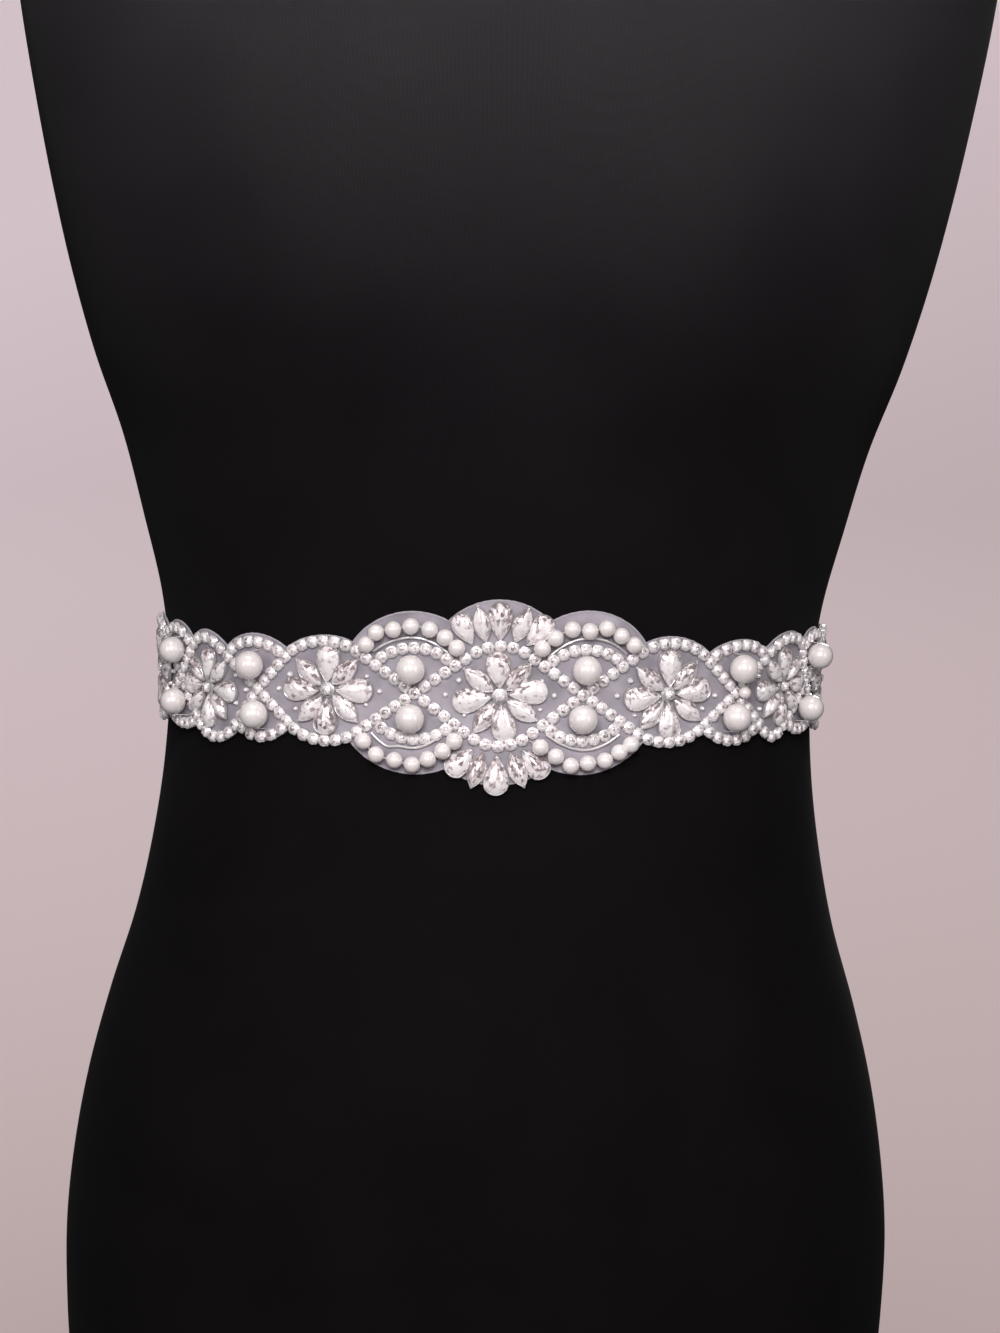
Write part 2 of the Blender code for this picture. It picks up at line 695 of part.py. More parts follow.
def build_tails(parts):
    """The two ends of the ties, which hang from the knot over the seat of the form and are
    cut on a slant."""
    top = -KNOT_HALF_HEIGHT - SEAM_GAP
    waist_half_width = smooth_table(WAIST, FORM_LEVELS, FORM_COLUMNS, "half_width")
    for name, way in (("left", -1), ("right", 1)):

        def shape(share, side, way=way):
            run = 1.0 - (side + 1) / 2
            across = 2 * share - 1
            centre = smooth_table(run, TAIL, TAIL_COLUMNS, "centre")
            half = smooth_table(run, TAIL, TAIL_COLUMNS, "half_width")
            depth = smooth_table(run, TAIL, TAIL_COLUMNS, "fold_depth")
            v = top - run * (TAIL_LENGTH + TAIL_SLANT * across * way)
            level = smooth_table(WAIST + v, FORM_LEVELS, FORM_COLUMNS, "half_width")
            # Seen from behind, the left of the front is on the right.
            w = -way * centre + across * half
            fold = (1 - np.cos(2 * math.pi * TAIL_FOLDS * share)) / 2
            u = BACK_CENTRE + w * waist_half_width / level
            return np.column_stack([u, v, CLEARANCE + depth * fold])

        mesh = wear_mesh(flat_grid(TAIL_FACES_ACROSS, TAIL_FACES_DOWN, shape))
        walled(new_object(f"tail_{name}", mesh, parts, "ivory_satin"), SATIN_WALL * MM)


def main():
    for old in list(bpy.data.objects):
        bpy.data.objects.remove(old)
    parts = bpy.data.collections.new("bridal_sash_on_form")
    scratch = bpy.data.collections.new("scratch")
    bpy.context.scene.collection.children.link(parts)
    bpy.context.scene.collection.children.link(scratch)
    build_form(parts)
    build_backing(parts)
    build_chain(parts, scratch)
    build_flowers(parts, scratch)
    build_fans(parts, scratch)
    build_large_pearls(parts)
    build_lobe_rows(parts, scratch)
    build_ribbons(parts)
    build_knot(parts)
    build_tails(parts)
    bpy.data.collections.remove(scratch)


main()
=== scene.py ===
"""A beaded bridal sash on a limbless dress form in black jersey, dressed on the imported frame.

The sash is laid out flat and then worn. A flat point (u, v, out) is u along the waist from the
centre front towards the viewer's right, v above the waistline and out proud of the form, all in
millimetres; wear() carries it to its place on the form, in metres. The form stands on the floor
at the origin with its front facing -Y, and left is the viewer's left.
"""

import json
import math

import bpy
import numpy as np
from bpy.props import FloatProperty, FloatVectorProperty, PointerProperty
from bpy.types import Operator, Panel, PropertyGroup
from mathutils import Matrix

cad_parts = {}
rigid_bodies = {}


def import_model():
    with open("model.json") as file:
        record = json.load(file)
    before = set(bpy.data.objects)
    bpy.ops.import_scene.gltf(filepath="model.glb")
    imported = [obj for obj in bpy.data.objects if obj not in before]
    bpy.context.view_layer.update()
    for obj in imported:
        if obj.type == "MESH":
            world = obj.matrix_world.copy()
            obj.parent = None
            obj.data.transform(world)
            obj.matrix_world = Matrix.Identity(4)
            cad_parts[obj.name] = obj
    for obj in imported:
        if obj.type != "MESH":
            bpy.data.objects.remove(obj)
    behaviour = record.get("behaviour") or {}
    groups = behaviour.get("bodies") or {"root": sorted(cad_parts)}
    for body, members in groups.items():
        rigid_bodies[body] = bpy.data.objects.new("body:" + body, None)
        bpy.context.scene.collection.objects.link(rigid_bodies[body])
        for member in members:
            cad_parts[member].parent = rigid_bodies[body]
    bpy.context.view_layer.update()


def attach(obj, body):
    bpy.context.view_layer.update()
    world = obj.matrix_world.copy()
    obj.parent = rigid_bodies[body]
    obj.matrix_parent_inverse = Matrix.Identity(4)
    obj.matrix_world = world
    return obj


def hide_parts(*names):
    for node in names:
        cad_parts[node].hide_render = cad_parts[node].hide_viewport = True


bl_info = {
    "name": "Beaded Bridal Sash",
    "version": (1, 0, 0),
    "blender": (4, 5, 0),
    "location": "3D View > Sidebar > Sash",
    "description": "A bridal sash of rhinestone chain, crystals and pearls, worn on a dress form",
    "category": "Add Mesh",
}

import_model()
BODY = "root"
MM = 0.001
SEED = 11


# Sizes that follow the solids, in millimetres

WAIST, WAIST_STEPS = 285.0, 4000
BUST_HEIGHT, BUST_APART, BUST_RISE = 430.0, 76.0, 14.0
BUST_WIDE, BUST_TALL = 48.0, 60.0

FORM_COLUMNS = ("height", "half_width", "front", "back", "squareness")
FORM_LEVELS = (
    (0.0, 151.5, 98.0, 118.0, 2.20),
    (40.0, 154.6, 104.0, 128.0, 2.20),
    (75.0, 155.0, 108.0, 134.0, 2.20),
    (102.0, 152.4, 110.0, 136.0, 2.20),
    (131.0, 147.4, 111.0, 133.0, 2.20),
    (160.0, 140.0, 110.0, 126.0, 2.20),
    (190.0, 131.0, 107.0, 114.0, 2.15),
    (220.0, 124.8, 102.0, 101.0, 2.15),
    (250.0, 120.9, 97.0, 90.0, 2.15),
    (285.0, 120.0, 94.0, 84.0, 2.15),
    (309.0, 122.9, 95.0, 84.0, 2.15),
    (339.0, 130.3, 100.0, 88.0, 2.15),
    (369.0, 138.5, 106.0, 94.0, 2.15),
    (398.0, 149.0, 112.0, 100.0, 2.20),
    (428.0, 157.8, 116.0, 106.0, 2.25),
    (458.0, 165.0, 115.0, 110.0, 2.30),
    (490.0, 171.6, 109.0, 113.0, 2.35),
    (530.0, 178.6, 96.0, 114.0, 2.45),
    (580.0, 184.0, 82.0, 110.0, 2.55),
    (618.0, 183.0, 69.0, 99.0, 2.60),
    (638.0, 172.0, 62.0, 90.0, 2.55),
    (653.0, 148.0, 57.0, 82.0, 2.45),
    (669.0, 113.0, 53.0, 74.0, 2.30),
    (683.0, 82.0, 50.0, 66.0, 2.15),
    (695.0, 66.0, 47.0, 59.0, 2.05),
    (725.0, 57.0, 45.0, 56.0, 2.00),
)
FORM_TOP = FORM_LEVELS[-1][0]

RING_RADIUS = 17.8
RING_PLACES = (0.0, 60.0, 112.0, 160.0)
CHAIN_END = 184.0
BOWS = (
    # place, radius, drop of its middle below the waistline
    (30.0, 18.6, 2.3),
    (86.0, 17.2, 0.0),
    (136.0, 17.2, 0.0),
)

SCALLOPS = (
    # u, radius above the waistline, radius below it, how many times narrower it is above
    (-160.0, 20.0, 19.2, 1.0),
    (-136.0, 19.6, 18.4, 1.0),
    (-112.0, 20.3, 19.2, 1.0),
    (-86.0, 19.7, 18.5, 1.0),
    (-60.0, 19.6, 19.0, 1.0),
    (-30.0, 28.9, 28.4, 1.10),
    (-0.5, 34.0, 31.4, 1.22),
    (30.0, 29.8, 28.0, 1.14),
    (60.0, 19.8, 19.2, 1.0),
    (86.0, 18.9, 18.4, 1.0),
    (112.0, 19.8, 19.0, 1.0),
    (136.0, 19.4, 18.2, 1.0),
    (160.0, 20.0, 19.2, 1.0),
)
DRIFT_HEIGHT = 16.0
DRIFT = (
    # u, how far the chain and the backing are drawn along, that high above the waistline and
    # that far below it
    (-160.0, 0.0, 0.0),
    (-136.0, 2.8, 4.2),
    (-125.0, 1.6, 4.6),
    (-98.5, -4.8, 1.2),
    (-86.0, -4.8, -1.0),
    (-73.5, -3.7, -2.4),
    (-60.0, -1.2, -0.8),
    (-46.0, 0.0, 0.0),
    (46.0, 0.0, 0.0),
    (60.0, 0.8, 0.6),
    (73.5, 3.0, 1.9),
    (86.0, 4.4, 2.6),
    (98.5, 4.8, 2.4),
    (125.0, 3.0, -7.0),
    (136.0, 2.0, -7.8),
    (160.0, 0.0, 0.0),
)
SAG = (
    # u, rise of the sash there
    (-190.0, 0.0),
    (-160.0, -2.4),
    (-136.0, -1.9),
    (-112.0, -4.1),
    (-86.0, -2.3),
    (-60.0, -1.0),
    (-30.0, -0.3),
    (0.0, -0.4),
    (30.0, 0.3),
    (60.0, 0.9),
    (86.0, -0.3),
    (112.0, 0.1),
    (136.0, 0.5),
    (160.0, -1.2),
    (190.0, 0.0),
)
TAB_END, TAB_HALF_HEIGHT = 190.0, 11.0
TRIM_LOW = 1.9
LARGE_PEARLS = (
    # name, u, v, share of the full size
    ("left_1_top", -30.1, 9.1, 1.0),
    ("left_1_bottom", -30.2, -8.7, 1.0),
    ("left_2_top", -88.6, 9.2, 1.0),
    ("left_2_bottom", -87.0, -9.1, 1.0),
    ("left_3_top", -129.6, 10.4, 0.93),
    ("left_3_bottom", -129.8, -9.1, 0.93),
    ("right_1_top", 29.5, 9.6, 1.0),
    ("right_1_bottom", 28.8, -8.3, 1.0),
    ("right_2_top", 87.9, 9.6, 1.0),
    ("right_2_bottom", 86.4, -8.6, 1.0),
    ("right_3_top", 133.0, 10.1, 0.93),
    ("right_3_bottom", 128.8, -9.4, 0.93),
)
PEARL_ROWS = (
    # name, and each small pearl's u and v
    ("left_top", ((-45.6, 17.6), (-42.0, 22.0), (-36.1, 23.3), (-30.1, 24.6), (-23.8, 23.7),
                  (-18.7, 20.9), (-14.7, 17.3))),
    ("left_bottom", ((-46.6, -17.4), (-41.9, -22.1), (-35.4, -23.8), (-29.3, -25.2),
                     (-23.9, -23.1), (-19.0, -20.0), (-15.1, -16.3))),
    ("right_top", ((14.2, 17.5), (18.4, 21.3), (24.0, 24.4), (30.0, 23.6), (35.8, 24.6),
                   (41.0, 21.6), (45.8, 18.1))),
    ("right_bottom", ((14.6, -18.1), (20.0, -21.5), (25.2, -24.9), (31.1, -24.1), (37.1, -23.4),
                      (42.2, -20.7), (46.3, -18.1))),
)
WIRES = (
    # name, and the points that its wire goes through
    ("left_top", ((-43.8, 14.6), (-40.0, 17.1), (-34.9, 19.2), (-30.6, 20.0), (-26.8, 19.7),
                  (-22.1, 17.9), (-17.2, 14.5))),
    ("left_bottom", ((-44.4, -14.5), (-41.4, -17.3), (-38.6, -19.0), (-34.4, -18.9),
                     (-30.2, -19.4), (-26.7, -18.9), (-22.6, -16.8), (-19.6, -14.6))),
    ("right_top", ((16.6, 13.8), (21.8, 17.9), (26.2, 19.9), (31.0, 20.4), (36.2, 19.5),
                   (40.4, 17.5), (44.0, 14.5))),
    ("right_bottom", ((16.8, -13.9), (22.5, -17.4), (27.5, -19.2), (31.6, -19.5), (35.6, -18.6),
                      (39.6, -16.7), (42.9, -14.4))),
)

KNOT_HALF_WIDTH, KNOT_HALF_HEIGHT, KNOT_DEEP = 9.0, 11.0, 13.0
RIBBON_COLUMNS = ("share", "half_width", "pleat_depth")
RIBBON = (
    (0.00, 10.8, 0.7),
    (0.15, 15.5, 0.5),
    (0.40, 19.0, 0.3),
    (0.70, 16.5, 0.9),
    (0.90, 10.5, 2.2),
    (1.00, 8.0, 2.8),
)
RIBBON_PLEATS = 2
TAIL_LENGTH, TAIL_SLANT, TAIL_FOLDS = 214.0, 9.0, 1.5
TAIL_COLUMNS = ("share", "centre", "half_width", "fold_depth")
TAIL = (
    (0.00, 4.9, 4.2, 2.4),
    (0.15, 9.5, 8.0, 2.6),
    (0.40, 16.0, 13.5, 1.8),
    (0.70, 21.0, 17.0, 1.0),
    (1.00, 25.0, 19.0, 0.6),
)

# Sizes and places of the finish

CLOTH_REST = 0.55
CLOTH_UNDER_TRIM = 1.25
STONE_LOW = 1.55
ENDS_CLEAR = 3.55
FACET_PAINTED_LIGHT = 0.60

PETALS = (
    # shape, start, length, width
    ("pear", 3.1, 13.5, 8.3),
    ("navette", 3.0, 12.7, 6.3),
    ("pear", 2.9, 13.0, 8.3),
    ("navette", 3.0, 12.7, 6.3),
)
FLOWERS = (
    # name, u, v, share of the full size; then, for each petal from the right round, how far it
    # is turned from its even place, in degrees, and how much brighter it is painted, in tenths, as
    # painted reflection
    ("left_3", -160.0, 0.0, 1.0, (2, -3, 3, 1, -3, 2, -2, 3), (1, 2, 0, 1, -1, 0, 2, 0)),
    ("left_2", -113.2, -0.4, 0.88, (-3, 2, -2, 3, 1, -2, 3, -1), (2, 0, 1, -1, 1, 0, 2, 1)),
    ("left_1", -60.8, 0.3, 1.0, (1, 0, -3, 2, -1, 2, -3, 1), (4, 0, 2, 1, 0, 1, -1, 2)),
    ("centre", 0.4, 0.0, 1.0, (8, 3, 5, 8, 9, 11, 8, 12), (3, -2, 1, 1, 3, -1, 3, 2)),
    ("right_1", 60.9, -0.7, 1.0, (9, 4, 1, 7, 6, 5, 4, 10), (1, -1, 2, 0, 3, 1, 1, 0)),
    ("right_2", 114.2, 0.2, 0.88, (3, -2, 2, -1, 3, 1, -3, 2), (1, 2, -1, 0, 1, 2, 0, 1)),
    ("right_3", 160.0, 0.0, 1.0, (-2, 3, -1, 2, 1, -3, 2, -2), (0, 1, 1, -1, 2, 0, 1, 2)),
)
FANS = (
    # name, side, and each crystal's foot across and up, tilt, tenths painted brighter as painted
    # reflection, shape, length and width
    ("top", 1, (
        (-9.5, 18.4, -27.0, 2, "pear", 11.8, 7.1),
        (-4.8, 19.5, -14.0, 2, "navette", 12.8, 5.7),
        (0.0, 20.0, -1.0, 0, "pear", 13.4, 8.0),
        (5.0, 19.6, 20.0, 2, "navette", 13.2, 6.4),
        (8.8, 18.4, 41.0, 2, "pear", 12.5, 8.0),
    )),
    ("bottom", -1, (
        (-8.9, 19.1, -42.0, 2, "pear", 12.0, 7.8),
        (-5.2, 20.2, -17.0, -1, "navette", 12.8, 6.3),
        (-0.2, 21.0, -1.0, 1, "pear", 13.8, 8.5),
        (4.8, 20.3, 22.0, -1, "navette", 12.6, 6.3),
        (8.6, 19.2, 43.0, 0, "pear", 12.4, 8.0),
    )),
)
SEED_BEADS = (
    # angle about the flower, distance from its middle, radius
    (0.0, 19.0, 0.95),
    (180.0, 19.0, 0.95),
    (20.0, 15.4, 0.85),
    (160.0, 15.4, 1.05),
    (-19.0, 14.9, 0.85),
    (210.0, 14.2, 0.80),
)


# Curves, and the form's surface

def smooth_curve(x, xs, ys):
    """The values at x of a cubic Hermite curve through points (xs, ys), whose slope at a point
    is the mean of the slopes on its two sides."""
    slopes = np.gradient(ys, xs)
    x = np.clip(x, xs[0], xs[-1])
    i = np.clip(np.searchsorted(xs, x) - 1, 0, len(xs) - 2)
    step = xs[i + 1] - xs[i]
    s = (x - xs[i]) / step
    return (
        (2 * s**3 - 3 * s**2 + 1) * ys[i]
        + (s**3 - 2 * s**2 + s) * step * slopes[i]
        + (3 * s**2 - 2 * s**3) * ys[i + 1]
        + (s**3 - s**2) * step * slopes[i + 1]
    )


def smooth_table(x, table, columns, *names):
    """The named columns at x, each on a smooth curve through every row."""
    values = dict(zip(columns, np.transpose(table)))
    return [smooth_curve(x, values[columns[0]], values[name]) for name in names]


def run_lengths(path):
    """How far along a path of points each of them is."""
    return np.concatenate([[0.0], np.cumsum(np.linalg.norm(np.diff(path, axis=0), axis=1))])


def smooth_line(corners, step):
    """Flat places at even steps on a smooth curve through the corners."""
    corners = np.array(corners)
    run = run_lengths(corners)
    at = np.linspace(0.0, run[-1], round(run[-1] / step) + 1)
    return np.stack([smooth_curve(at, run, corners[:, k]) for k in (0, 1)], axis=1)


def power(value, exponent):
    """The size of value raised to exponent, with value's sign."""
    return np.sign(value) * np.abs(value) ** exponent


def bell(value, middle, width):
    """A Gaussian: exp(-((value - middle) / width)^2)."""
    return np.exp(-(((value - middle) / width) ** 2))


def even_turns(count):
    """Even angles all the way round."""
    return np.linspace(0.0, 2 * math.pi, count, endpoint=False)


def toward(heading):
    """The flat direction of a heading."""
    return np.array([math.cos(heading), math.sin(heading)])


def torso(turn, height):
    """The form's surface: at an angle round from the front and a height, a superellipse with
    one depth in front and another behind, less two low Gaussian mounds for the bust."""
    across, ahead = np.sin(turn), np.cos(turn)
    half_width, front, back, squareness = smooth_table(
        height, FORM_LEVELS, FORM_COLUMNS, *FORM_COLUMNS[1:]
    )
    x = half_width * power(across, 2.0 / squareness)
    y = -np.where(ahead > 0, front, back) * power(ahead, 2.0 / squareness)
    mound = bell(np.abs(x), BUST_APART, BUST_WIDE) * bell(height, BUST_HEIGHT, BUST_TALL)
    y = y - BUST_RISE * mound * np.clip(ahead, 0.0, 1.0)
    return np.stack([x, y, height + 0.0 * x], axis=-1)


def waist_lengths():
    """Angles round the waistline and the tape lengths to them from the centre front."""
    turns = np.linspace(-math.pi, math.pi, WAIST_STEPS + 1)
    lengths = run_lengths(torso(turns, np.full_like(turns, WAIST)))
    return turns, lengths - np.interp(0.0, turns, lengths)


TURNS, LENGTHS = waist_lengths()
BACK_CENTRE = LENGTHS[-1]


def unit(vectors):
    """The vectors at length one."""
    return vectors / np.linalg.norm(vectors, axis=-1, keepdims=True)


def worn(flat):
    """Flat points on the form, in metres, with the unit directions along the waist, up and out
    of the form there: the surface point plus out times the surface's normal, which is the cross
    product of the surface's two slopes."""
    flat = np.asarray(flat, float)
    u = (flat[..., 0] + BACK_CENTRE) % (2 * BACK_CENTRE) - BACK_CENTRE
    turn = np.interp(u, LENGTHS, TURNS)
    height = WAIST + flat[..., 1] + smooth_curve(u, *np.transpose(SAG))
    small_turn, small_rise = 0.002, 0.5
    along = unit(torso(turn + small_turn, height) - torso(turn - small_turn, height))
    rise = torso(turn, height + small_rise) - torso(turn, height - small_rise)
    out = unit(np.cross(along, rise))
    points = (torso(turn, height) + out * flat[..., 2:3]) * MM
    return points, np.stack([along, np.cross(out, along), out], axis=-2)


def wear(flat):
    """Flat points on the form, in metres."""
    return worn(flat)[0]


def drawn(flat):
    """Flat points of the chain and the backing, drawn along the waist by the table: a mean of
    its two columns there, in proportion to their height."""
    flat = np.array(flat, float)
    place, above, below = np.transpose(DRIFT)
    share = np.clip(0.5 + flat[..., 1] / (2 * DRIFT_HEIGHT), 0.0, 1.0)
    drift = share * smooth_curve(flat[..., 0], place, above)
    drift += (1 - share) * smooth_curve(flat[..., 0], place, below)
    flat[..., 0] += drift
    return flat


def raised(flat, out):
    """Flat places at a height out, or at one each."""
    return np.column_stack([flat, np.full(len(flat), out)])


# Shapes: arrays of points, with blocks of faces

class Block:
    """Faces with the same number of corners: rows of point numbers, one finish number, a tint
    for each face, whether they are smooth, and the corners' places in the cut, if any."""

    def __init__(self, faces, finish=0, tints=1.0, smooth=True, places=None):
        self.faces = np.asarray(faces, int)
        self.finish = finish
        self.tints = np.broadcast_to(np.asarray(tints, float), len(self.faces))
        self.smooth = smooth
        self.places = places


class Shape:
    """Points, and the blocks of faces between them."""

    def __init__(self, points, *blocks):
        self.points = np.asarray(points, float).reshape(-1, 3)
        self.blocks = blocks

    def at(self, points):
        """The same faces between other points."""
        return Shape(points, *self.blocks)


def joined(shapes):
    """Several shapes as one."""
    shapes = list(shapes)
    starts = np.cumsum([0] + [len(shape.points) for shape in shapes])
    blocks = [
        Block(block.faces + start, block.finish, block.tints, block.smooth, block.places)
        for shape, start in zip(shapes, starts)
        for block in shape.blocks
    ]
    return Shape(np.concatenate([shape.points for shape in shapes]), *blocks)


def repeated(shape, places, axes):
    """The shape at each place: place + x along + y up + z out, with x, y and z in millimetres
    and the place in metres. A block's faces keep their own tints."""
    count, size = len(places), len(shape.points)
    points = places[:, None, :] + np.einsum("mk,nkj->nmj", shape.points * MM, axes)
    blocks = []
    for block in shape.blocks:
        faces = (block.faces[None] + np.arange(count)[:, None, None] * size)
        faces = faces.reshape(-1, block.faces.shape[1])
        blocks.append(Block(faces, block.finish, np.tile(block.tints, count), block.smooth))
    return Shape(points, *blocks)


def grid_faces(rows, columns, round_rows=False, round_columns=False):
    """The quads of a grid of points, counted row by row, and each corner's row and column. They
    face out where column x row does. A grid may close on itself either way."""
    i, j = np.meshgrid(
        np.arange(rows if round_rows else rows - 1),
        np.arange(columns if round_columns else columns - 1),
        indexing="ij",
    )
    row = np.stack([i, i, i + 1, i + 1], axis=-1).reshape(-1, 4)
    place = np.stack([j, j + 1, j + 1, j], axis=-1).reshape(-1, 4)
    return (row % rows) * columns + place % columns, row, place


def lofted(rings, closed=False, **looks):
    """Rings of points, one after another, each the other way round from a clock seen from
    ahead. The ends are flat, or the last ring meets the first."""
    rows, columns = rings.shape[:2]
    faces = grid_faces(rows, columns, closed, True)[0]
    blocks = [Block(faces, **looks)]
    if not closed:
        ends = [np.arange(columns)[::-1], (rows - 1) * columns + np.arange(columns)]
        blocks.append(Block(ends, **looks))
    return Shape(rings, *blocks)


def turned(profile, sides, **looks):
    """A profile of (x, radius) turned about X: (x, r cos a, r sin a). A profile that starts and
    ends off the axis closes on itself, as a ring does."""
    profile = np.asarray(profile, float)
    angles = even_turns(sides)
    x, radius = profile[:, :1], profile[:, 1:]
    rings = np.stack([x + 0 * angles, radius * np.cos(angles), radius * np.sin(angles)], axis=-1)
    return lofted(rings, closed=True, **looks)


def tube(path, radii, sides, twist=0.0, lobes=0, lobe_rise=0.0, **looks):
    """A round section carried along a path of flat points. The section stands square to the
    path, between the path's left and the direction out: centre + r (cos a left + sin a over).
    With lobes, r swells by lobe_rise cos(lobes a - twist s), as a twisted strand's does."""
    path = np.asarray(path, float)
    ahead = unit(np.gradient(path, axis=0))
    left = unit(np.cross([0.0, 0.0, 1.0], ahead))
    over = np.cross(ahead, left)
    run = run_lengths(path)[:, None]
    angles = even_turns(sides)[None]
    radii = np.broadcast_to(np.asarray(radii, float), len(path))[:, None]
    reach = radii + lobe_rise * np.cos(lobes * angles - twist * run)
    section = np.cos(angles)[..., None] * left[:, None] + np.sin(angles)[..., None] * over[:, None]
    return lofted(path[:, None] + reach[..., None] * section, **looks)


def sheeted(points, wall, lengths, round_columns=False, **looks):
    """A cloth as a thin closed shell: the points, rows by columns, are its outer side, and its
    inner side lies a wall's thickness behind along the surface's normal. Its free edges are
    closed, and each corner keeps its place in the cut, in metres."""
    rows, columns = points.shape[:2]
    down = np.gradient(points, axis=0)
    if round_columns:
        across = np.roll(points, -1, axis=1) - np.roll(points, 1, axis=1)
    else:
        across = np.gradient(points, axis=1)
    inner = points - unit(np.cross(across, down)) * wall
    faces, row, place = grid_faces(rows, columns, round_columns=round_columns)
    cut = np.stack([lengths[1][place], lengths[0][row]], axis=-1) * MM
    behind = rows * columns
    outer_edge = [np.arange(columns), (rows - 1) * columns + np.arange(columns)[::-1]]
    if not round_columns:
        left = np.arange(rows)[::-1] * columns
        right = np.arange(rows) * columns + columns - 1
        outer_edge = [np.concatenate([outer_edge[0], right[1:], outer_edge[1][1:], left[1:-1]])]
    rims = []
    for edge in outer_edge:
        after = np.roll(edge, -1)
        rims.append(np.stack([after, edge, edge + behind, after + behind], axis=1))
    rim = np.concatenate(rims)
    return Shape(
        np.concatenate([points.reshape(-1, 3), inner.reshape(-1, 3)]),
        Block(faces, places=cut, **looks),
        Block(faces[:, ::-1] + behind, places=cut[:, ::-1], **looks),
        Block(rim, places=np.zeros((len(rim), 4, 2)), **looks),
    )


def ridges(u, v, table):
    """Soft creases: each row gives a middle (u, v), the direction it runs in, its length, its
    width and its rise. The rise falls off as a Gaussian across it and as cos squared along."""
    total = np.zeros(np.broadcast(u, v).shape)
    for middle_u, middle_v, heading, length, width, rise in table:
        turn = math.radians(heading)
        along = (u - middle_u) * math.cos(turn) + (v - middle_v) * math.sin(turn)
        across = (v - middle_v) * math.cos(turn) - (u - middle_u) * math.sin(turn)
        fade = np.cos(np.clip(along / length, -0.5, 0.5) * math.pi) ** 2
        total = total + rise * fade * bell(across, 0.0, width)
    return total


# Pieces

# The finishes of a piece by number
CRYSTAL, SILVER = 0, 1
PEARL, THREAD = 0, 1


def new_piece(name, shape, finishes, replaces=(), sparkle=0.0, sharp=40.0):
    """A mesh of the shape, riding on the form. Every face keeps its tint. A crystal's facets
    also take a random share of the sparkle, a painted brightness that differs from facet to
    facet, and the ones that face down are painted brighter, as painted light, because light from
    above reaches the eye through them."""
    blocks = shape.blocks
    mesh = bpy.data.meshes.new(name)
    mesh.from_pydata(shape.points, [], [row for block in blocks for row in block.faces.tolist()])
    counts = [len(block.faces) for block in blocks]
    tints = np.concatenate([block.tints for block in blocks])
    finish_numbers = np.repeat([block.finish for block in blocks], counts)
    if sparkle:
        normals = np.empty(3 * len(tints))
        mesh.polygons.foreach_get("normal", normals)
        # Painted light: a random painted sparkle, and facets that face down painted brighter
        change = sparkle * (RANDOM.random(len(tints)) - 0.5) - FACET_PAINTED_LIGHT * normals[2::3]
        tints = tints + change * (finish_numbers == CRYSTAL)
    mesh.polygons.foreach_set("material_index", finish_numbers)
    mesh.polygons.foreach_set("use_smooth", np.repeat([block.smooth for block in blocks], counts))
    tint = mesh.attributes.new("tint", "FLOAT", "FACE")
    tint.data.foreach_set("value", np.clip(tints, 0.0, 1.0).astype(np.float32))
    if blocks[0].places is not None:
        cut = mesh.uv_layers.new(name="cut")
        cut.data.foreach_set("uv", np.concatenate([block.places.reshape(-1) for block in blocks]))
    for finish in finishes:
        mesh.materials.append(finish)
    mesh.update(calc_edges=True)
    mesh.set_sharp_from_angle(angle=math.radians(sharp))
    piece = bpy.data.objects.new(name, mesh)
    bpy.context.scene.collection.objects.link(piece)
    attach(piece, BODY)
    if replaces:
        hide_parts(*replaces)
    return piece


# A tint each for the outer facets, the kites, the star facets and the table: a painted
# brightness that stands in for what each facet reflects
FOILED = np.array([0.40, 0.46, 0.52, 0.58])
BRIGHT = np.array([1.15, 1.05, 0.80, 0.42])
CLEAR = np.full(4, 1.1)
BASE_TINT = 0.5
KITE_INSET, KITE_RISE, TABLE_INSET, TABLE_RISE = 0.80, 0.60, 0.50, 0.90


def crystal(rim, heart, step, low, crown, table=TABLE_INSET, tints=FOILED, foot=0.0):
    """A faceted stone over an outline whose points come in steps of two or three. Outline
    points are drawn in towards the heart: the middle of each step by a fifth, to a ring part
    way up the crown, and its start further, to the table. Each step then has an outer facet, a
    kite, a star facet and a share of the table, which rises slightly to the heart. The four
    have a tint each, a painted brightness as painted reflection, and the facets either side of
    the first point are painted brighter by foot, a painted highlight."""
    count = len(rim)
    parts = count // step
    starts = rim[::step]
    middles = (rim[step // 2::step] + rim[(step + 1) // 2::step]) / 2

    def ring(points, inset, z):
        return raised(heart + (points - heart) * inset, z)

    points = np.concatenate([
        ring(rim, 1.0, low),
        ring(middles, KITE_INSET, low + crown * KITE_RISE),
        ring(starts, table, low + crown * TABLE_RISE),
        ring(np.array([heart]), 1.0, low + crown),
    ])
    around = np.arange(count)
    k = np.arange(parts)
    before, after = (k - 1) % parts, (k + 1) % parts
    mid, top, peak = count, count + parts, count + 2 * parts
    outer = np.stack([around, (around + 1) % count, mid + around // step], axis=1)
    kites = np.stack([step * k, mid + k, top + k, mid + before], axis=1)
    stars = np.stack([mid + k, top + after, top + k], axis=1)
    fan = np.stack([top + k, top + after, np.full(parts, peak)], axis=1)
    near_foot = foot * ((k == 0) | (k == parts - 1))
    facets = (
        (around[::-1][None], BASE_TINT),
        (outer, tints[0]),
        (kites, tints[1] + near_foot),
        (stars, tints[2]),
        (fan, tints[3] + near_foot),
    )
    return Shape(points, *(Block(faces, CRYSTAL, tint, smooth=False) for faces, tint in facets))


def round_rim(radius, count):
    """A circle's outline: (r cos a, r sin a)."""
    angles = even_turns(count)
    return radius * np.stack([np.cos(angles), np.sin(angles)], axis=1)


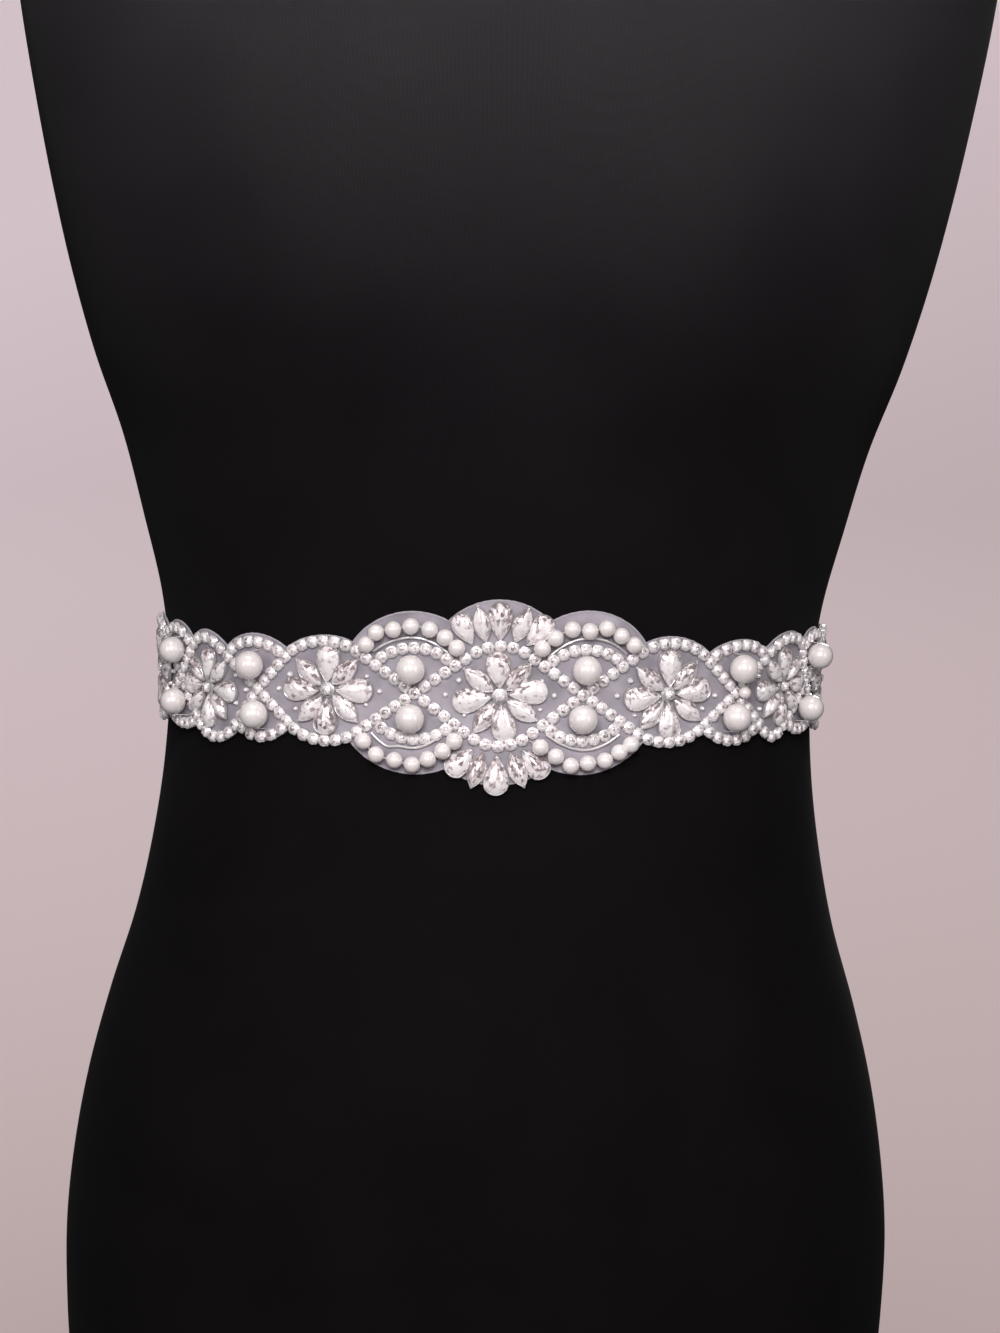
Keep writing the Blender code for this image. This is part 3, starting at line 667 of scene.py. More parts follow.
def petal_rim(shape, length, width, count):
    """A pear or navette outline from its pointed foot at (0, 0) along +X. Both have
    x = length (1 - cos t) / 2. A navette's half width goes as sin(t) |sin t|, pointed at both
    ends, and a pear's as sin(t) sin(t / 2), round at the far end."""
    t = even_turns(count)
    x = length * (1 - np.cos(t)) / 2
    if shape == "navette":
        y = -width / 2 * np.sin(t) * np.abs(np.sin(t))
    else:
        peak = 4 / (3 * math.sqrt(3))
        y = -width / 2 * np.sin(t) * np.sin(t / 2) / peak
    return np.stack([x, y], axis=1)


def toward_left(rim):
    """The direction square to a closed outline at each of its points, on its left."""
    ahead = unit(np.roll(rim, -1, axis=0) - np.roll(rim, 1, axis=0))
    return np.stack([-ahead[:, 1], ahead[:, 0]], axis=1)


def setting(rim, wall, section, tint):
    """A metal cup about a stone's outline. Its section is a row of (share of the wall out,
    height): each share lies that far out from the outline, along the outline's normal."""
    out = -toward_left(rim)
    return lofted(np.array([raised(rim + out * share * wall, z) for share, z in section]),
                  finish=SILVER, tints=tint)


CLAW_STAND, CLAW_FOOT, CLAW_TIP, CLAW_DEEP, CLAW_TALL = 0.30, 0.5, 0.3, 0.22, 0.14
CLAW_HIGH = 1.75


def claws(points, inward, reach, low, width):
    """Prongs that stand outside a stone and lean in over its edge: each a tapered bar between
    two oblong sections, from low outside the edge to its tip. The sizes of a section are
    shares of the prong's width."""
    inward = unit(np.asarray(inward, float))
    side = np.stack([-inward[:, 1], inward[:, 0]], axis=1)
    bars = []
    for point, into, across in zip(points, inward, side):
        rings = []
        for far_in, z, half in ((-CLAW_STAND, low, CLAW_FOOT), (reach, CLAW_HIGH, CLAW_TIP)):
            middle = np.append(point + into * far_in, z)
            broad = np.append(across * half * width, 0.0)
            deep = np.append(into * CLAW_DEEP * width, CLAW_TALL * width)
            rings.append([middle - broad - deep, middle + broad - deep,
                          middle + broad + deep, middle - broad + deep])
        bars.append(lofted(np.array(rings)[:, ::-1], finish=SILVER))
    return joined(bars)


# Cups: share of the wall out, height
PETAL_CUP = ((1.0, 0.0), (1.0, 1.0), (0.5, 1.2), (-0.3, 1.1), (-1.0, 0.7))
STONE_CUP = ((1.0, 0.0), (1.0, 0.9), (-0.2, 1.15))

# A petal's heart as a share of its length, and which of its outline's points are gripped
PETAL_POINTS, CUP_POINTS = 24, 36
PETAL_HEARTS = {"pear": 0.62, "navette": 0.54}
PETAL_GRIPS = {"pear": [9, 15], "navette": [5, 19, 12]}
NAVETTE_TIP = 12
# Near its foot a petal is painted brighter, a painted highlight
PETAL_LOW, PETAL_CROWN, FOOT_PAINTED_LIGHT = 0.95, 1.95, 0.25
PETAL_CUP_WALL, PETAL_CUP_GAP, PETAL_CUP_SHADE = 0.24, 0.15, 0.25


def set_petal(shape, length, width, painted_brighter):
    """A pear or navette crystal in its silver claw setting, from its foot along +X."""
    rim = petal_rim(shape, length, width, PETAL_POINTS)
    heart = np.array([length * PETAL_HEARTS[shape], 0.0])
    inward = toward_left(rim)
    inward[NAVETTE_TIP] = [-1.0, 0.0]
    grips = PETAL_GRIPS[shape]
    larger = 2 * PETAL_CUP_GAP
    metal = petal_rim(shape, length + larger, width + larger, CUP_POINTS) - [PETAL_CUP_GAP, 0.0]
    return joined([
        # The crystal is painted brighter by the given share, and more near its foot, as painted
        # reflection
        crystal(rim, heart, 3, PETAL_LOW, PETAL_CROWN, tints=FOILED + painted_brighter, foot=FOOT_PAINTED_LIGHT),
        # The cup is painted dark, as painted shade round the petal
        setting(metal, PETAL_CUP_WALL, PETAL_CUP, PETAL_CUP_SHADE),
        claws(rim[grips], inward[grips], reach=0.65, low=0.5, width=0.85),
    ])


STONE_SIDES, STONE_SHARE, CUP_SHARE, GRIP_SHARE = 12, 0.80, 0.82, 0.88
STONE_BOTTOM, STONE_CROWN, STONE_TABLE, STONE_CUP_TINT = 1.05, 0.85, 0.62, 0.85


def cup_stone(radius):
    """A round rhinestone in its cup, about (0, 0), held by four prongs."""
    rim = round_rim(radius, STONE_SIDES)
    stone = crystal(rim * STONE_SHARE, np.zeros(2), 2, STONE_BOTTOM, STONE_CROWN,
                    STONE_TABLE, BRIGHT)
    cup = setting(rim * CUP_SHARE, radius * (1 - CUP_SHARE), STONE_CUP, STONE_CUP_TINT)
    corners = round_rim(1.0, 4) @ np.array([[1, 1], [-1, 1]]) / math.sqrt(2)
    grips = claws(corners * radius * GRIP_SHARE, -corners, reach=0.50, low=0.4, width=0.9)
    return joined([stone, cup, grips])


BEAD_CHAMFER = 0.12


def bead(radius, hole, rows, sides):
    """A drilled round bead about X: (-r cos a, r sin a) from one end of the hole to the other,
    closed through the hole, with a small chamfer at each end."""
    start = math.asin((hole + BEAD_CHAMFER) / radius)
    angles = np.linspace(start, math.pi - start, rows)
    ball = np.stack([-radius * np.cos(angles), radius * np.sin(angles)], axis=1)
    end = radius * math.cos(start) - BEAD_CHAMFER
    profile = np.concatenate([[(-end, hole)], ball, [(end, hole)]])
    return turned(profile[::-1], sides, finish=PEARL)


# The sash's layout

def arc(centre, radius, start, end, step):
    """Points on a circle from one angle to another, in degrees clockwise from straight up."""
    count = max(3, round(math.radians(abs(end - start)) * radius / step) + 1)
    angles = np.radians(np.linspace(start, end, count))
    return np.stack([centre + radius * np.sin(angles), radius * np.cos(angles)], axis=1)


RUN_STEP, BOW_STEP, BOW_REACH, BOW_PITCH = 0.3, 0.08, 75.0, 1.01
VALLEY_STEPS = 2000


def chain_runs(side):
    """One chain's way in stretches from crossing to crossing: round each ring in turn, above
    one and below the next, with straight runs down to the crossings on the waistline."""
    places = [-place for place in RING_PLACES[:0:-1]] + list(RING_PLACES)
    crossings = [(a + b) / 2 for a, b in zip(places, places[1:])]
    crossings = [-CHAIN_END] + crossings + [CHAIN_END]
    runs = []
    for index, place in enumerate(places):
        sign = side * (-1) ** (index - len(RING_PLACES) + 1)
        before = math.degrees(math.asin(RING_RADIUS / (place - crossings[index])))
        after = math.degrees(math.asin(RING_RADIUS / (crossings[index + 1] - place)))
        bend = arc(place, RING_RADIUS, -before, after, RUN_STEP) * [1.0, sign]
        ends = [[(crossing, 0.0)] for crossing in crossings[index:index + 2]]
        runs.append(np.concatenate([ends[0], bend, ends[1]]))
    return runs


def spaced(path, step):
    """Points along a path at equal steps of about the given length, with their directions."""
    lengths = run_lengths(path)
    count = max(1, round(lengths[-1] / step))
    at = np.linspace(0.0, lengths[-1], count + 1)
    small = 0.4
    points, behind, ahead = (
        np.stack([np.interp(at + shift, lengths, column) for column in path.T], axis=1)
        for shift in (0.0, -small, small)
    )
    along, up = (ahead - behind).T
    return points, np.arctan2(up, along)


def chain_stones(pitch):
    """Every stone's flat place and heading. The two runs share a stone at each crossing; then
    each bow over a lobe takes as many stones as leave its ends clear of the runs."""
    places, headings = [], []
    for side in (1, -1):
        for number, run in enumerate(chain_runs(side)):
            points, turns = spaced(drawn(run), pitch)
            first = 0 if (side > 0 and number == 0) else 1
            last = len(points) if side > 0 else len(points) - 1
            places.append(points[first:last])
            headings.append(turns[first:last])
    runs = np.concatenate(places)
    for place, radius, drop in BOWS:
        bow = arc(place, radius, -BOW_REACH, BOW_REACH, BOW_STEP) - [0.0, drop]
        top = len(bow) // 2
        for way in (1, -1):
            for side in (1, -1):
                path = drawn(bow * [way, side])
                gap = np.linalg.norm(path[:, None] - runs[None], axis=2).min(axis=1)
                crowded = gap < ENDS_CLEAR
                first = top + 1 - np.argmax(crowded[top::-1])
                path = path[first:top + np.argmax(crowded[top:])]
                points, turns = spaced(path, pitch * BOW_PITCH)
                places.append(points)
                headings.append(turns)
    return np.concatenate(places), np.concatenate(headings)


def seated(flat, headings, lean=0.0):
    """Where flat places lie on the form, in metres, and axes there that are turned by their
    headings about the direction out."""
    points, axes = worn(flat)
    cosine, sine = np.cos(headings)[:, None], np.sin(headings)[:, None]
    along = axes[:, 0] * cosine + axes[:, 1] * sine
    up = axes[:, 1] * cosine - axes[:, 0] * sine
    out = axes[:, 2]
    if lean:
        wobble = (RANDOM.random((len(flat), 2)) - 0.5) * 2 * lean
        out = unit(out + along * wobble[:, :1] + up * wobble[:, 1:])
        along = unit(along - out * np.sum(along * out, axis=1, keepdims=True))
        up = np.cross(out, along)
    return points, np.stack([along, up, out], axis=1)


def scallop_edge(u, side):
    """How far the backing's edge is from the waistline at u, above it or below: the furthest
    of the tab and the scallops, sqrt(radius^2 - (narrower (u - place))^2)."""
    edge = np.full(np.shape(u), TAB_HALF_HEIGHT)
    for place, above, below, narrower in SCALLOPS:
        radius = np.where(side > 0, above, below)
        across = (u - place) * np.where(side > 0, narrower, 1.0)
        edge = np.maximum(edge, np.sqrt(np.clip(radius**2 - across**2, 0.0, None)))
    return edge


def scallop_stations(step):
    """Stations along the backing: each valley between scallops, each scallop's top, the tabs'
    corners and ends, and equal steps between them."""
    corners = [place + side * math.sqrt(radius**2 - TAB_HALF_HEIGHT**2)
               for side, (place, radius, *_) in ((-1, SCALLOPS[0]), (1, SCALLOPS[-1]))]
    stops = [-TAB_END, corners[0], SCALLOPS[0][0]]
    for (place, *_), (following, *_) in zip(SCALLOPS, SCALLOPS[1:]):
        between = np.linspace(place, following, VALLEY_STEPS + 1)
        stops += [between[np.argmin(scallop_edge(between, 1.0))], following]
    stops += [corners[1], TAB_END]
    stations = [np.array(stops[:1])]
    for start, end in zip(stops, stops[1:]):
        stations.append(np.linspace(start, end, max(1, round((end - start) / step)) + 1)[1:])
    return np.concatenate(stations)


# Finishes: shader maths is written as expressions

class Wire:
    """An output socket. Arithmetic on it adds Math nodes to its tree."""

    def __init__(self, tree, socket):
        self.tree = tree
        self.socket = socket

    def maths(self, operation, *values):
        """A Math node in the same tree."""
        return Nodes(self.tree).maths(operation, *values)

    def __add__(self, other):
        return self.maths("ADD", self, other)

    def __sub__(self, other):
        return self.maths("SUBTRACT", self, other)

    def __rsub__(self, other):
        return self.maths("SUBTRACT", other, self)

    def __mul__(self, other):
        return self.maths("MULTIPLY", self, other)

    def __pow__(self, other):
        return self.maths("POWER", self, other)

    def __rpow__(self, other):
        return self.maths("POWER", other, self)

    __radd__ = __add__
    __rmul__ = __mul__

    def sine(self):
        """Its sine."""
        return self.maths("SINE", self)

    def size(self):
        """Its size without its sign."""
        return self.maths("ABSOLUTE", self)


class Nodes:
    """A material's nodes, added one by one."""

    def __init__(self, tree):
        self.tree = tree

    def add(self, kind, settings=None, sockets=None, output=0):
        """A node of a type: its settings first, then its sockets' values or links, by place or
        by name. Returns the wire from one of its outputs, by place or by name too."""
        node = self.tree.nodes.new(kind)
        for key, value in (settings or {}).items():
            if key == "stops":
                ramp = node.color_ramp
                while len(ramp.elements) < len(value):
                    ramp.elements.new(0.5)
                for element, (position, colour) in zip(ramp.elements, value):
                    element.position, element.color = position, (*colour, 1.0)
            else:
                setattr(node, key, value)
        for key, value in (sockets or {}).items():
            if isinstance(value, Wire):
                self.tree.links.new(value.socket, node.inputs[key])
            else:
                node.inputs[key].default_value = value
        return Wire(self.tree, node.outputs[output])

    def maths(self, operation, *values):
        """A Math node."""
        return self.add("ShaderNodeMath", {"operation": operation}, dict(enumerate(values)))

    def mix(self, share, *colours):
        """A colour between two, by a share from 0 to 1. The node's sockets for colours go by
        place, because they share their names with its others."""
        first, second = (
            colour if isinstance(colour, Wire) else (*colour, 1.0) for colour in colours
        )
        return self.add("ShaderNodeMix", {"data_type": "RGBA", "clamp_factor": True},
                        {0: share, 6: first, 7: second}, output=2)

    def space(self):
        """The place on the object, in metres."""
        return self.add("ShaderNodeTexCoord", output="Object")

    def cut(self):
        """The place in the cut cloth, in metres: across and along."""
        return self.along(self.add("ShaderNodeUVMap", {"uv_map": "cut"}))[:2]

    def tint(self):
        """The face's tint, which for crystals is a painted brightness."""
        return self.add("ShaderNodeAttribute", {"attribute_name": "tint"}, output="Fac")

    def noise(self, vector, scale, detail=2.0, roughness=0.5):
        """Noise from 0 to 1 at so many waves a metre."""
        return self.add("ShaderNodeTexNoise", None, {"Vector": vector, "Scale": scale,
                                                     "Detail": detail, "Roughness": roughness})

    def along(self, vector):
        """The three parts of a vector."""
        node = self.add("ShaderNodeSeparateXYZ", None, {0: vector}).socket.node
        return [Wire(self.tree, output) for output in node.outputs]

    def bump(self, height, distance, strength):
        """A normal from a height between 0 and 1, times a distance in metres."""
        return self.add("ShaderNodeBump", None,
                        {"Height": height, "Distance": distance, "Strength": strength})


def scaled(colour, share):
    """A colour times a number, or times one for each part, as far as white."""
    return tuple(np.minimum(np.array(colour) * share, 1.0).tolist())


def new_finish(name, linked, **fixed):
    """A material with one Principled shader, whose fixed values are set on its own sockets and
    whose linked ones come from a function of its nodes. It is made once."""
    material = bpy.data.materials.get(name)
    if material:
        return material
    material = bpy.data.materials.new(name)
    material.use_nodes = True
    tree = material.node_tree
    shader = tree.nodes["Principled BSDF"]
    for key, value in fixed.items():
        shader.inputs[key.replace("_", " ")].default_value = value
    for key, wire in linked(Nodes(tree)).items():
        tree.links.new(wire.socket, shader.inputs[key])
    return material


def jersey_finish(settings):
    """Matt black knit: fine wales with their loops, faint pilling, a dark dusty sheen."""

    def linked(nodes):
        across, along = nodes.cut()
        space = nodes.space()
        course = settings.wale * 0.8
        side = (across * (math.pi / settings.wale)).sine().size()
        loop = (along * (2 * math.pi / course) + side * 2.2).sine()
        cloud = nodes.noise(space, scale=26.0, detail=3.0)
        fuzz = nodes.noise(space, scale=2400.0, roughness=0.7)
        lighter = tuple(part * 1.9 + 0.0015 for part in settings.colour)
        return {
            "Base Color": nodes.mix(cloud * 0.8 + fuzz * 0.2 - 0.1, settings.colour, lighter),
            "Roughness": cloud * 0.14 + 0.74,
            "Normal": nodes.bump(side * 0.6 + loop * 0.25 + fuzz * 0.25, distance=0.00006,
                                 strength=0.5),
        }

    return new_finish("black jersey", linked, Specular_IOR_Level=0.04, Sheen_Weight=0.006,
                      Sheen_Roughness=0.5)


def organza_finish(settings):
    """Sheer organza: fine crossed threads, a little denser in clouds."""

    def linked(nodes):
        warp, weft = ((way * (math.pi / settings.thread)).sine().size() for way in nodes.cut())
        threads = warp * 0.5 + weft * 0.5
        cloud = nodes.noise(nodes.space(), scale=90.0)
        dark, pale = scaled(settings.colour, 0.78), scaled(settings.colour, 1.45)
        return {
            "Base Color": nodes.mix(cloud * 1.6 - 0.3, dark, pale),
            "Alpha": threads * 0.12 + cloud * 0.22 + (settings.density - 0.16),
            "Roughness": cloud * 0.2 + 0.42,
            "Normal": nodes.bump(threads, distance=0.00003, strength=0.6),
        }

    return new_finish("sheer organza", linked, Specular_IOR_Level=0.6, Sheen_Weight=0.3)


def edging_finish(settings):
    """The overcast thread along the organza's edge."""

    def linked(nodes):
        cloud = nodes.noise(nodes.space(), scale=700.0)
        return {
            "Base Color": nodes.mix(cloud, settings.colour, scaled(settings.colour, 1.3)),
            "Roughness": cloud * 0.2 + 0.4,
            "Normal": nodes.bump(cloud, distance=0.00008, strength=0.6),
        }

    return new_finish("organza edging", linked, Alpha=0.72, Sheen_Weight=0.2)


def crystal_finish(settings):
    """Foil-backed crystal: each facet's tint is painted, from a dark smoky tone to clear white,
    broken up by painted reflections from inside the stone, and a warm noise paints a blush, a
    painted warm reflection."""

    def linked(nodes):
        space = nodes.space()
        warm = nodes.noise(space, scale=45.0, detail=1.0)
        # Painted reflections from inside the stone: cells that shift each facet's painted tint
        cells = nodes.add("ShaderNodeTexVoronoi", None, {"Vector": space, "Scale": 800.0},
                          output="Color")
        inner_reflection = nodes.along(cells)[0] * 0.80 - 0.36
        stops = (
            (0.05, (0.185, 0.145, 0.15)),
            (0.30, (0.49, 0.41, 0.43)),
            (0.55, (0.79, 0.71, 0.735)),
            (0.85, settings.colour),
        )
        shade = nodes.add("ShaderNodeValToRGB", {"stops": stops}, {"Fac": nodes.tint() + inner_reflection})
        return {
            # A warm noise mixes in a painted warm reflection
            "Base Color": nodes.mix(warm * 0.14, shade, (0.86, 0.76, 0.73)),
            "Roughness": warm * 0.10 + 0.10,
        }

    return new_finish("foiled crystal", linked, Metallic=0.12, Coat_Weight=1.0,
                      Coat_Roughness=0.05, Specular_IOR_Level=0.8)


def silver_finish(settings):
    """Silver plate with fine scratches: from dark to bright by its tint. The petals' cups are
    painted dark, as painted shade round the petals.
    """

    def linked(nodes):
        rubbed = nodes.noise(nodes.space(), scale=420.0, detail=3.0)
        bright = nodes.tint() + rubbed * 0.3 - 0.15
        return {
            "Base Color": nodes.mix(bright, scaled(settings.silver, 0.4), settings.silver),
            "Roughness": rubbed * 0.22 + 0.24,
            "Normal": nodes.bump(rubbed, distance=0.00002, strength=0.4),
        }

    return new_finish("silver setting", linked, Metallic=0.42, Specular_IOR_Level=0.8)


def pearl_finish(settings):
    """Ivory pearl: a soft lustre under a clear skin, creamy in places and rosy in others."""

    def linked(nodes):
        space = nodes.space()
        cloud = nodes.noise(space, scale=130.0)
        skin = nodes.noise(space, scale=900.0)
        rosy = scaled(settings.colour, (1.0, 0.975, 0.97))
        return {
            "Base Color": nodes.mix(cloud, settings.colour, rosy),
            "Roughness": skin * 0.08 + 0.24,
            "Normal": nodes.bump(skin, distance=0.00002, strength=0.25),
        }

    return new_finish("ivory pearl", linked, Coat_Weight=1.0, Coat_Roughness=0.15,
                      Specular_IOR_Level=0.9, Subsurface_Weight=0.06, Subsurface_Scale=0.001)


def thread_finish():
    """Ivory sewing thread, with its twist."""

    def linked(nodes):
        twist = nodes.noise(nodes.space(), scale=2600.0, detail=1.0)
        return {
            "Base Color": nodes.mix(twist, (0.50, 0.47, 0.45), (0.80, 0.77, 0.73)),
            "Roughness": twist * 0.2 + 0.5,
            "Normal": nodes.bump(twist, distance=0.00004, strength=0.6),
        }

    return new_finish("ivory thread", linked)


def satin_finish(settings):
    """Ivory satin: a fine warp-faced weave that shines across the ribbon."""

    def linked(nodes):
        warp = (nodes.cut()[0] * (2 * math.pi / settings.warp)).sine()
        slub = nodes.noise(nodes.space(), scale=60.0, detail=3.0)
        return {
            "Base Color": nodes.mix(slub, scaled(settings.colour, 0.93), settings.colour),
            "Roughness": slub * 0.14 + 0.26,
            "Normal": nodes.bump(warp * 0.3 + slub, distance=0.00005, strength=0.35),
        }

    return new_finish("ivory satin", linked, Sheen_Weight=0.35, Sheen_Roughness=0.4,
                      Specular_IOR_Level=0.7)


def backdrop_finish(settings):
    """Matt paper in a dusty pink, which glows in its own colour as painted light. Its painted
    shade, to a darker tone, goes as exp(-distance from the upright axis), less the height, plus
    the way to the right."""

    def linked(nodes):
        space = nodes.space()
        x, y, z = nodes.along(space)
        away = (x * x + y * y) ** 0.5
        near = nodes.maths("EXPONENT", away * -0.62)
        cloud = nodes.noise(space, scale=0.7)
        # Painted shade: darker near the upright axis, low down and to the right, lighter up the
        # wall
        painted_falloff = near * 0.654 - z * 0.63 + x * 0.217 + cloud * 0.04 + 0.342
        painted_shade_colour = scaled(settings.backdrop, (0.645, 0.613, 0.566))
        paper = nodes.mix(painted_falloff, settings.backdrop, painted_shade_colour)
        return {
            "Base Color": paper,
            "Roughness": cloud * 0.1 + 0.85,
            # The paper glows in its own colour: painted light, from no lamp
            "Emission Color": paper,
        }

    return new_finish("studio paper", linked, Specular_IOR_Level=0.1, Emission_Strength=0.72)


# Settings that a user would change

def colour_setting(name, description, default):
    """A colour property."""
    return FloatVectorProperty(
        name=name, description=description, default=default, subtype="COLOR", min=0.0, max=1.0,
    )


def length_setting(name, description, default):
    """A length property, in metres."""
    return FloatProperty(
        name=name, description=description, default=default, min=0.00001, unit="LENGTH",
        precision=5,
    )


class FormSettings(PropertyGroup):
    colour: colour_setting("Jersey colour", "Colour of the jersey cover", (0.0024, 0.0020, 0.0023))
    wale: length_setting("Wale", "Width of one column of knit stitches", 0.0009)


class BackingSettings(PropertyGroup):
    colour: colour_setting("Organza colour", "Colour of the sheer backing", (0.435, 0.398, 0.452))
    density: FloatProperty(
        name="Density", description="How much of the light the organza stops", default=0.50,
        min=0.2, max=1.0, subtype="FACTOR",
    )
    wall: length_setting("Organza thickness", "Thickness of the backing", 0.0003)
    thread: length_setting("Thread spacing", "Distance between the organza's threads", 0.00035)
    edging: length_setting("Edging", "Radius of the overcast edge", 0.00034)


class StoneSettings(PropertyGroup):
    colour: colour_setting("Crystal colour", "Colour of the clear facets", (0.985, 0.94, 0.955))
    silver: colour_setting("Silver colour", "Colour of the cups and settings", (0.88, 0.84, 0.85))
    cup: length_setting("Cup width", "Width of one cup of the chain", 0.0043)
    pitch: length_setting("Chain pitch", "Distance between the chain's stones", 0.00428)
    sparkle: FloatProperty(
        name="Sparkle", description="How much one facet differs from the next", default=0.80,
        min=0.0, max=1.0, subtype="FACTOR",
    )


class PearlSettings(PropertyGroup):
    colour: colour_setting("Pearl colour", "Colour of the pearls", (0.765, 0.722, 0.718))
    large: length_setting("Large pearl", "Diameter of a large pearl", 0.0102)
    small: length_setting("Small pearl", "Diameter of a small pearl", 0.0060)
    wire: length_setting("Wire", "Radius of the silver wire", 0.00045)


class TieSettings(PropertyGroup):
    colour: colour_setting("Satin colour", "Colour of the satin ties", (0.80, 0.755, 0.69))
    wall: length_setting("Satin thickness", "Thickness of the ribbon", 0.0004)
    warp: length_setting("Warp spacing", "Distance between the satin's warp threads", 0.00035)


class StageSettings(PropertyGroup):
    backdrop: colour_setting("Backdrop colour", "Colour of the backdrop", (0.735, 0.612, 0.655))
    power: FloatProperty(name="Main light", description="Power of the main light", default=46.0,
                         min=0.0, unit="POWER")
    distance: length_setting("Camera distance", "From the camera to the middle of the sash", 1.5)


class SashSettings(PropertyGroup):
    form: PointerProperty(name="Form", description="The dress form", type=FormSettings)
    backing: PointerProperty(name="Backing", description="The organza", type=BackingSettings)
    stones: PointerProperty(name="Stones", description="Chain and crystals", type=StoneSettings)
    pearls: PointerProperty(name="Pearls", description="Pearls and wires", type=PearlSettings)
    ties: PointerProperty(name="Ties", description="The satin ties", type=TieSettings)
    stage: PointerProperty(name="Stage", description="Floor, lights and camera", type=StageSettings)


# The dress form

FORM_EDGE, FORM_EDGE_STEPS, FORM_ROW, FORM_SIDES = 5.0, 6, 3.0, 176
END_SHARES = (0.06, 0.4, 0.8)
SEAM_DEEP, SEAM_WIDE = 0.55, 1.1
SEAM_LIP, SEAM_LIP_PLACE, SEAM_LIP_WIDE = 0.30, 2.4, 1.3
SEAM_TURNS = (0.008, 0.016, 0.024, 0.032)
HEM_HEIGHT, HEM_DEEP, HEM_WIDE, HEM_ROWS = 14.0, 0.30, 1.0, 9


def form_rows():
    """The rows of the form's skin, from the middle of its base to the middle of its top: each
    a height, the share of the form's reach at that height, and how far the row lies inside.
    The two edges are quarter circles of one radius."""
    bend = np.linspace(0.0, math.pi / 2, FORM_EDGE_STEPS + 1)
    sides = np.linspace(FORM_EDGE, FORM_TOP - FORM_EDGE, round(FORM_TOP / FORM_ROW))[1:-1]
    hem = HEM_HEIGHT + np.linspace(-2 * HEM_WIDE, 2 * HEM_WIDE, HEM_ROWS)
    sides = np.sort(np.concatenate([sides, hem]))
    flat_end = np.zeros(len(END_SHARES))
    rise = np.append(flat_end, FORM_EDGE * (1 - np.cos(bend)))
    depth = np.append(flat_end + FORM_EDGE, FORM_EDGE * (1 - np.sin(bend)))
    heights = np.concatenate([rise, sides, FORM_TOP - rise[::-1]])
    inside = np.concatenate([depth, 0.0 * sides, depth[::-1]])
    shares = np.ones(len(heights))
    shares[:len(END_SHARES)] = shares[:-len(END_SHARES) - 1:-1] = END_SHARES
    return heights, shares, inside


class SASH_OT_dress_form(Operator):
    """Covers the limbless form in its black jersey, with a seam at the centre back and a hem"""

    bl_idname = "sash.dress_form"
    bl_label = "Dress Form"

    def execute(self, context):
        heights, shares, inside = form_rows()
        even = np.linspace(-math.pi, math.pi, FORM_SIDES + 1)[:-1]
        near_seam = math.pi - np.array(SEAM_TURNS)
        turns = np.sort(np.concatenate([even, near_seam, -near_seam]))
        # The form's surface, drawn in by each row's depth and to its share of the reach, less
        # the grooves of the seam, with its raised lips, and of the hem
        skin = torso(turns[None] + 0 * heights[:, None], heights[:, None] + 0 * turns[None])
        flat = skin[..., :2] - unit(skin[..., :2]) * inside[:, None, None]
        flat = flat * shares[:, None, None]
        behind = skin[..., 1] > 0
        x = np.abs(skin[..., 0])
        lip = SEAM_LIP * bell(x, SEAM_LIP_PLACE, SEAM_LIP_WIDE)
        seam = lip - SEAM_DEEP * bell(x, 0.0, SEAM_WIDE)
        hem = -HEM_DEEP * bell(heights, HEM_HEIGHT, HEM_WIDE)[:, None]
        side = (inside == 0)[:, None]
        flat += unit(flat) * (np.where(behind, seam, 0.0) + hem)[..., None] * side[..., None]
        points = np.concatenate([flat, skin[..., 2:]], axis=-1) * MM
        rows, columns = points.shape[:2]
        faces, row, place = grid_faces(rows, columns, round_columns=True)
        around = np.append(np.interp(turns, TURNS, LENGTHS), LENGTHS[-1])
        cut = np.stack([around[place], heights[row]], axis=-1) * MM
        ends = [np.arange(columns)[::-1], (rows - 1) * columns + np.arange(columns)]
        end_cut = points.reshape(-1, 3)[np.array(ends)][..., :2]
        skin_shape = Shape(points, Block(faces, places=cut), Block(ends, places=end_cut))
        finish = jersey_finish(context.scene.sash.form)
        new_piece("jersey_form", skin_shape, [finish], ["form"], sharp=80.0)
        return {"FINISHED"}


# The organza backing

BACKING_CREASES = (
    # u, v, heading, length, width, rise
    (-27.0, 26.0, 62.0, 11.0, 2.2, 0.40),
    (-12.0, 33.0, 100.0, 9.0, 1.8, 0.30),
    (15.0, 31.5, 70.0, 10.0, 2.4, 0.35),
    (40.0, 25.0, 110.0, 9.0, 2.0, 0.35),
    (52.0, 12.0, 20.0, 12.0, 2.2, 0.28),
    (-45.0, -9.0, 155.0, 14.0, 2.6, 0.30),
    (-18.0, -30.0, 95.0, 9.0, 2.0, 0.30),
    (33.0, -27.0, 60.0, 10.0, 2.2, 0.35),
    (74.0, 15.0, 120.0, 10.0, 2.0, 0.30),
    (-76.0, 14.0, 65.0, 11.0, 2.2, 0.32),
    (-100.0, -13.0, 80.0, 8.0, 1.8, 0.30),
    (99.0, -14.5, 100.0, 9.0, 2.2, 0.30),
    (126.0, 15.0, 75.0, 9.0, 2.0, 0.35),
    (-126.0, 15.0, 105.0, 9.0, 1.8, 0.35),
    (-175.0, 4.0, 12.0, 20.0, 2.6, 0.40),
    (176.0, -3.0, 170.0, 18.0, 2.2, 0.40),
    (181.0, 5.0, 175.0, 14.0, 1.8, 0.30),
)
FREE_MARGIN, MARGIN_OUT = 5.0, CLOTH_REST + 0.3
BACKING_STEP, BACKING_ROWS, BACKING_CROWD = 0.9, 31, 1.4
EDGING_SIDES, EDGING_TWIST, EDGING_SWELL = 6, 4.5, 0.05
TAB_POINTS, JUST_INSIDE = 15, 0.999


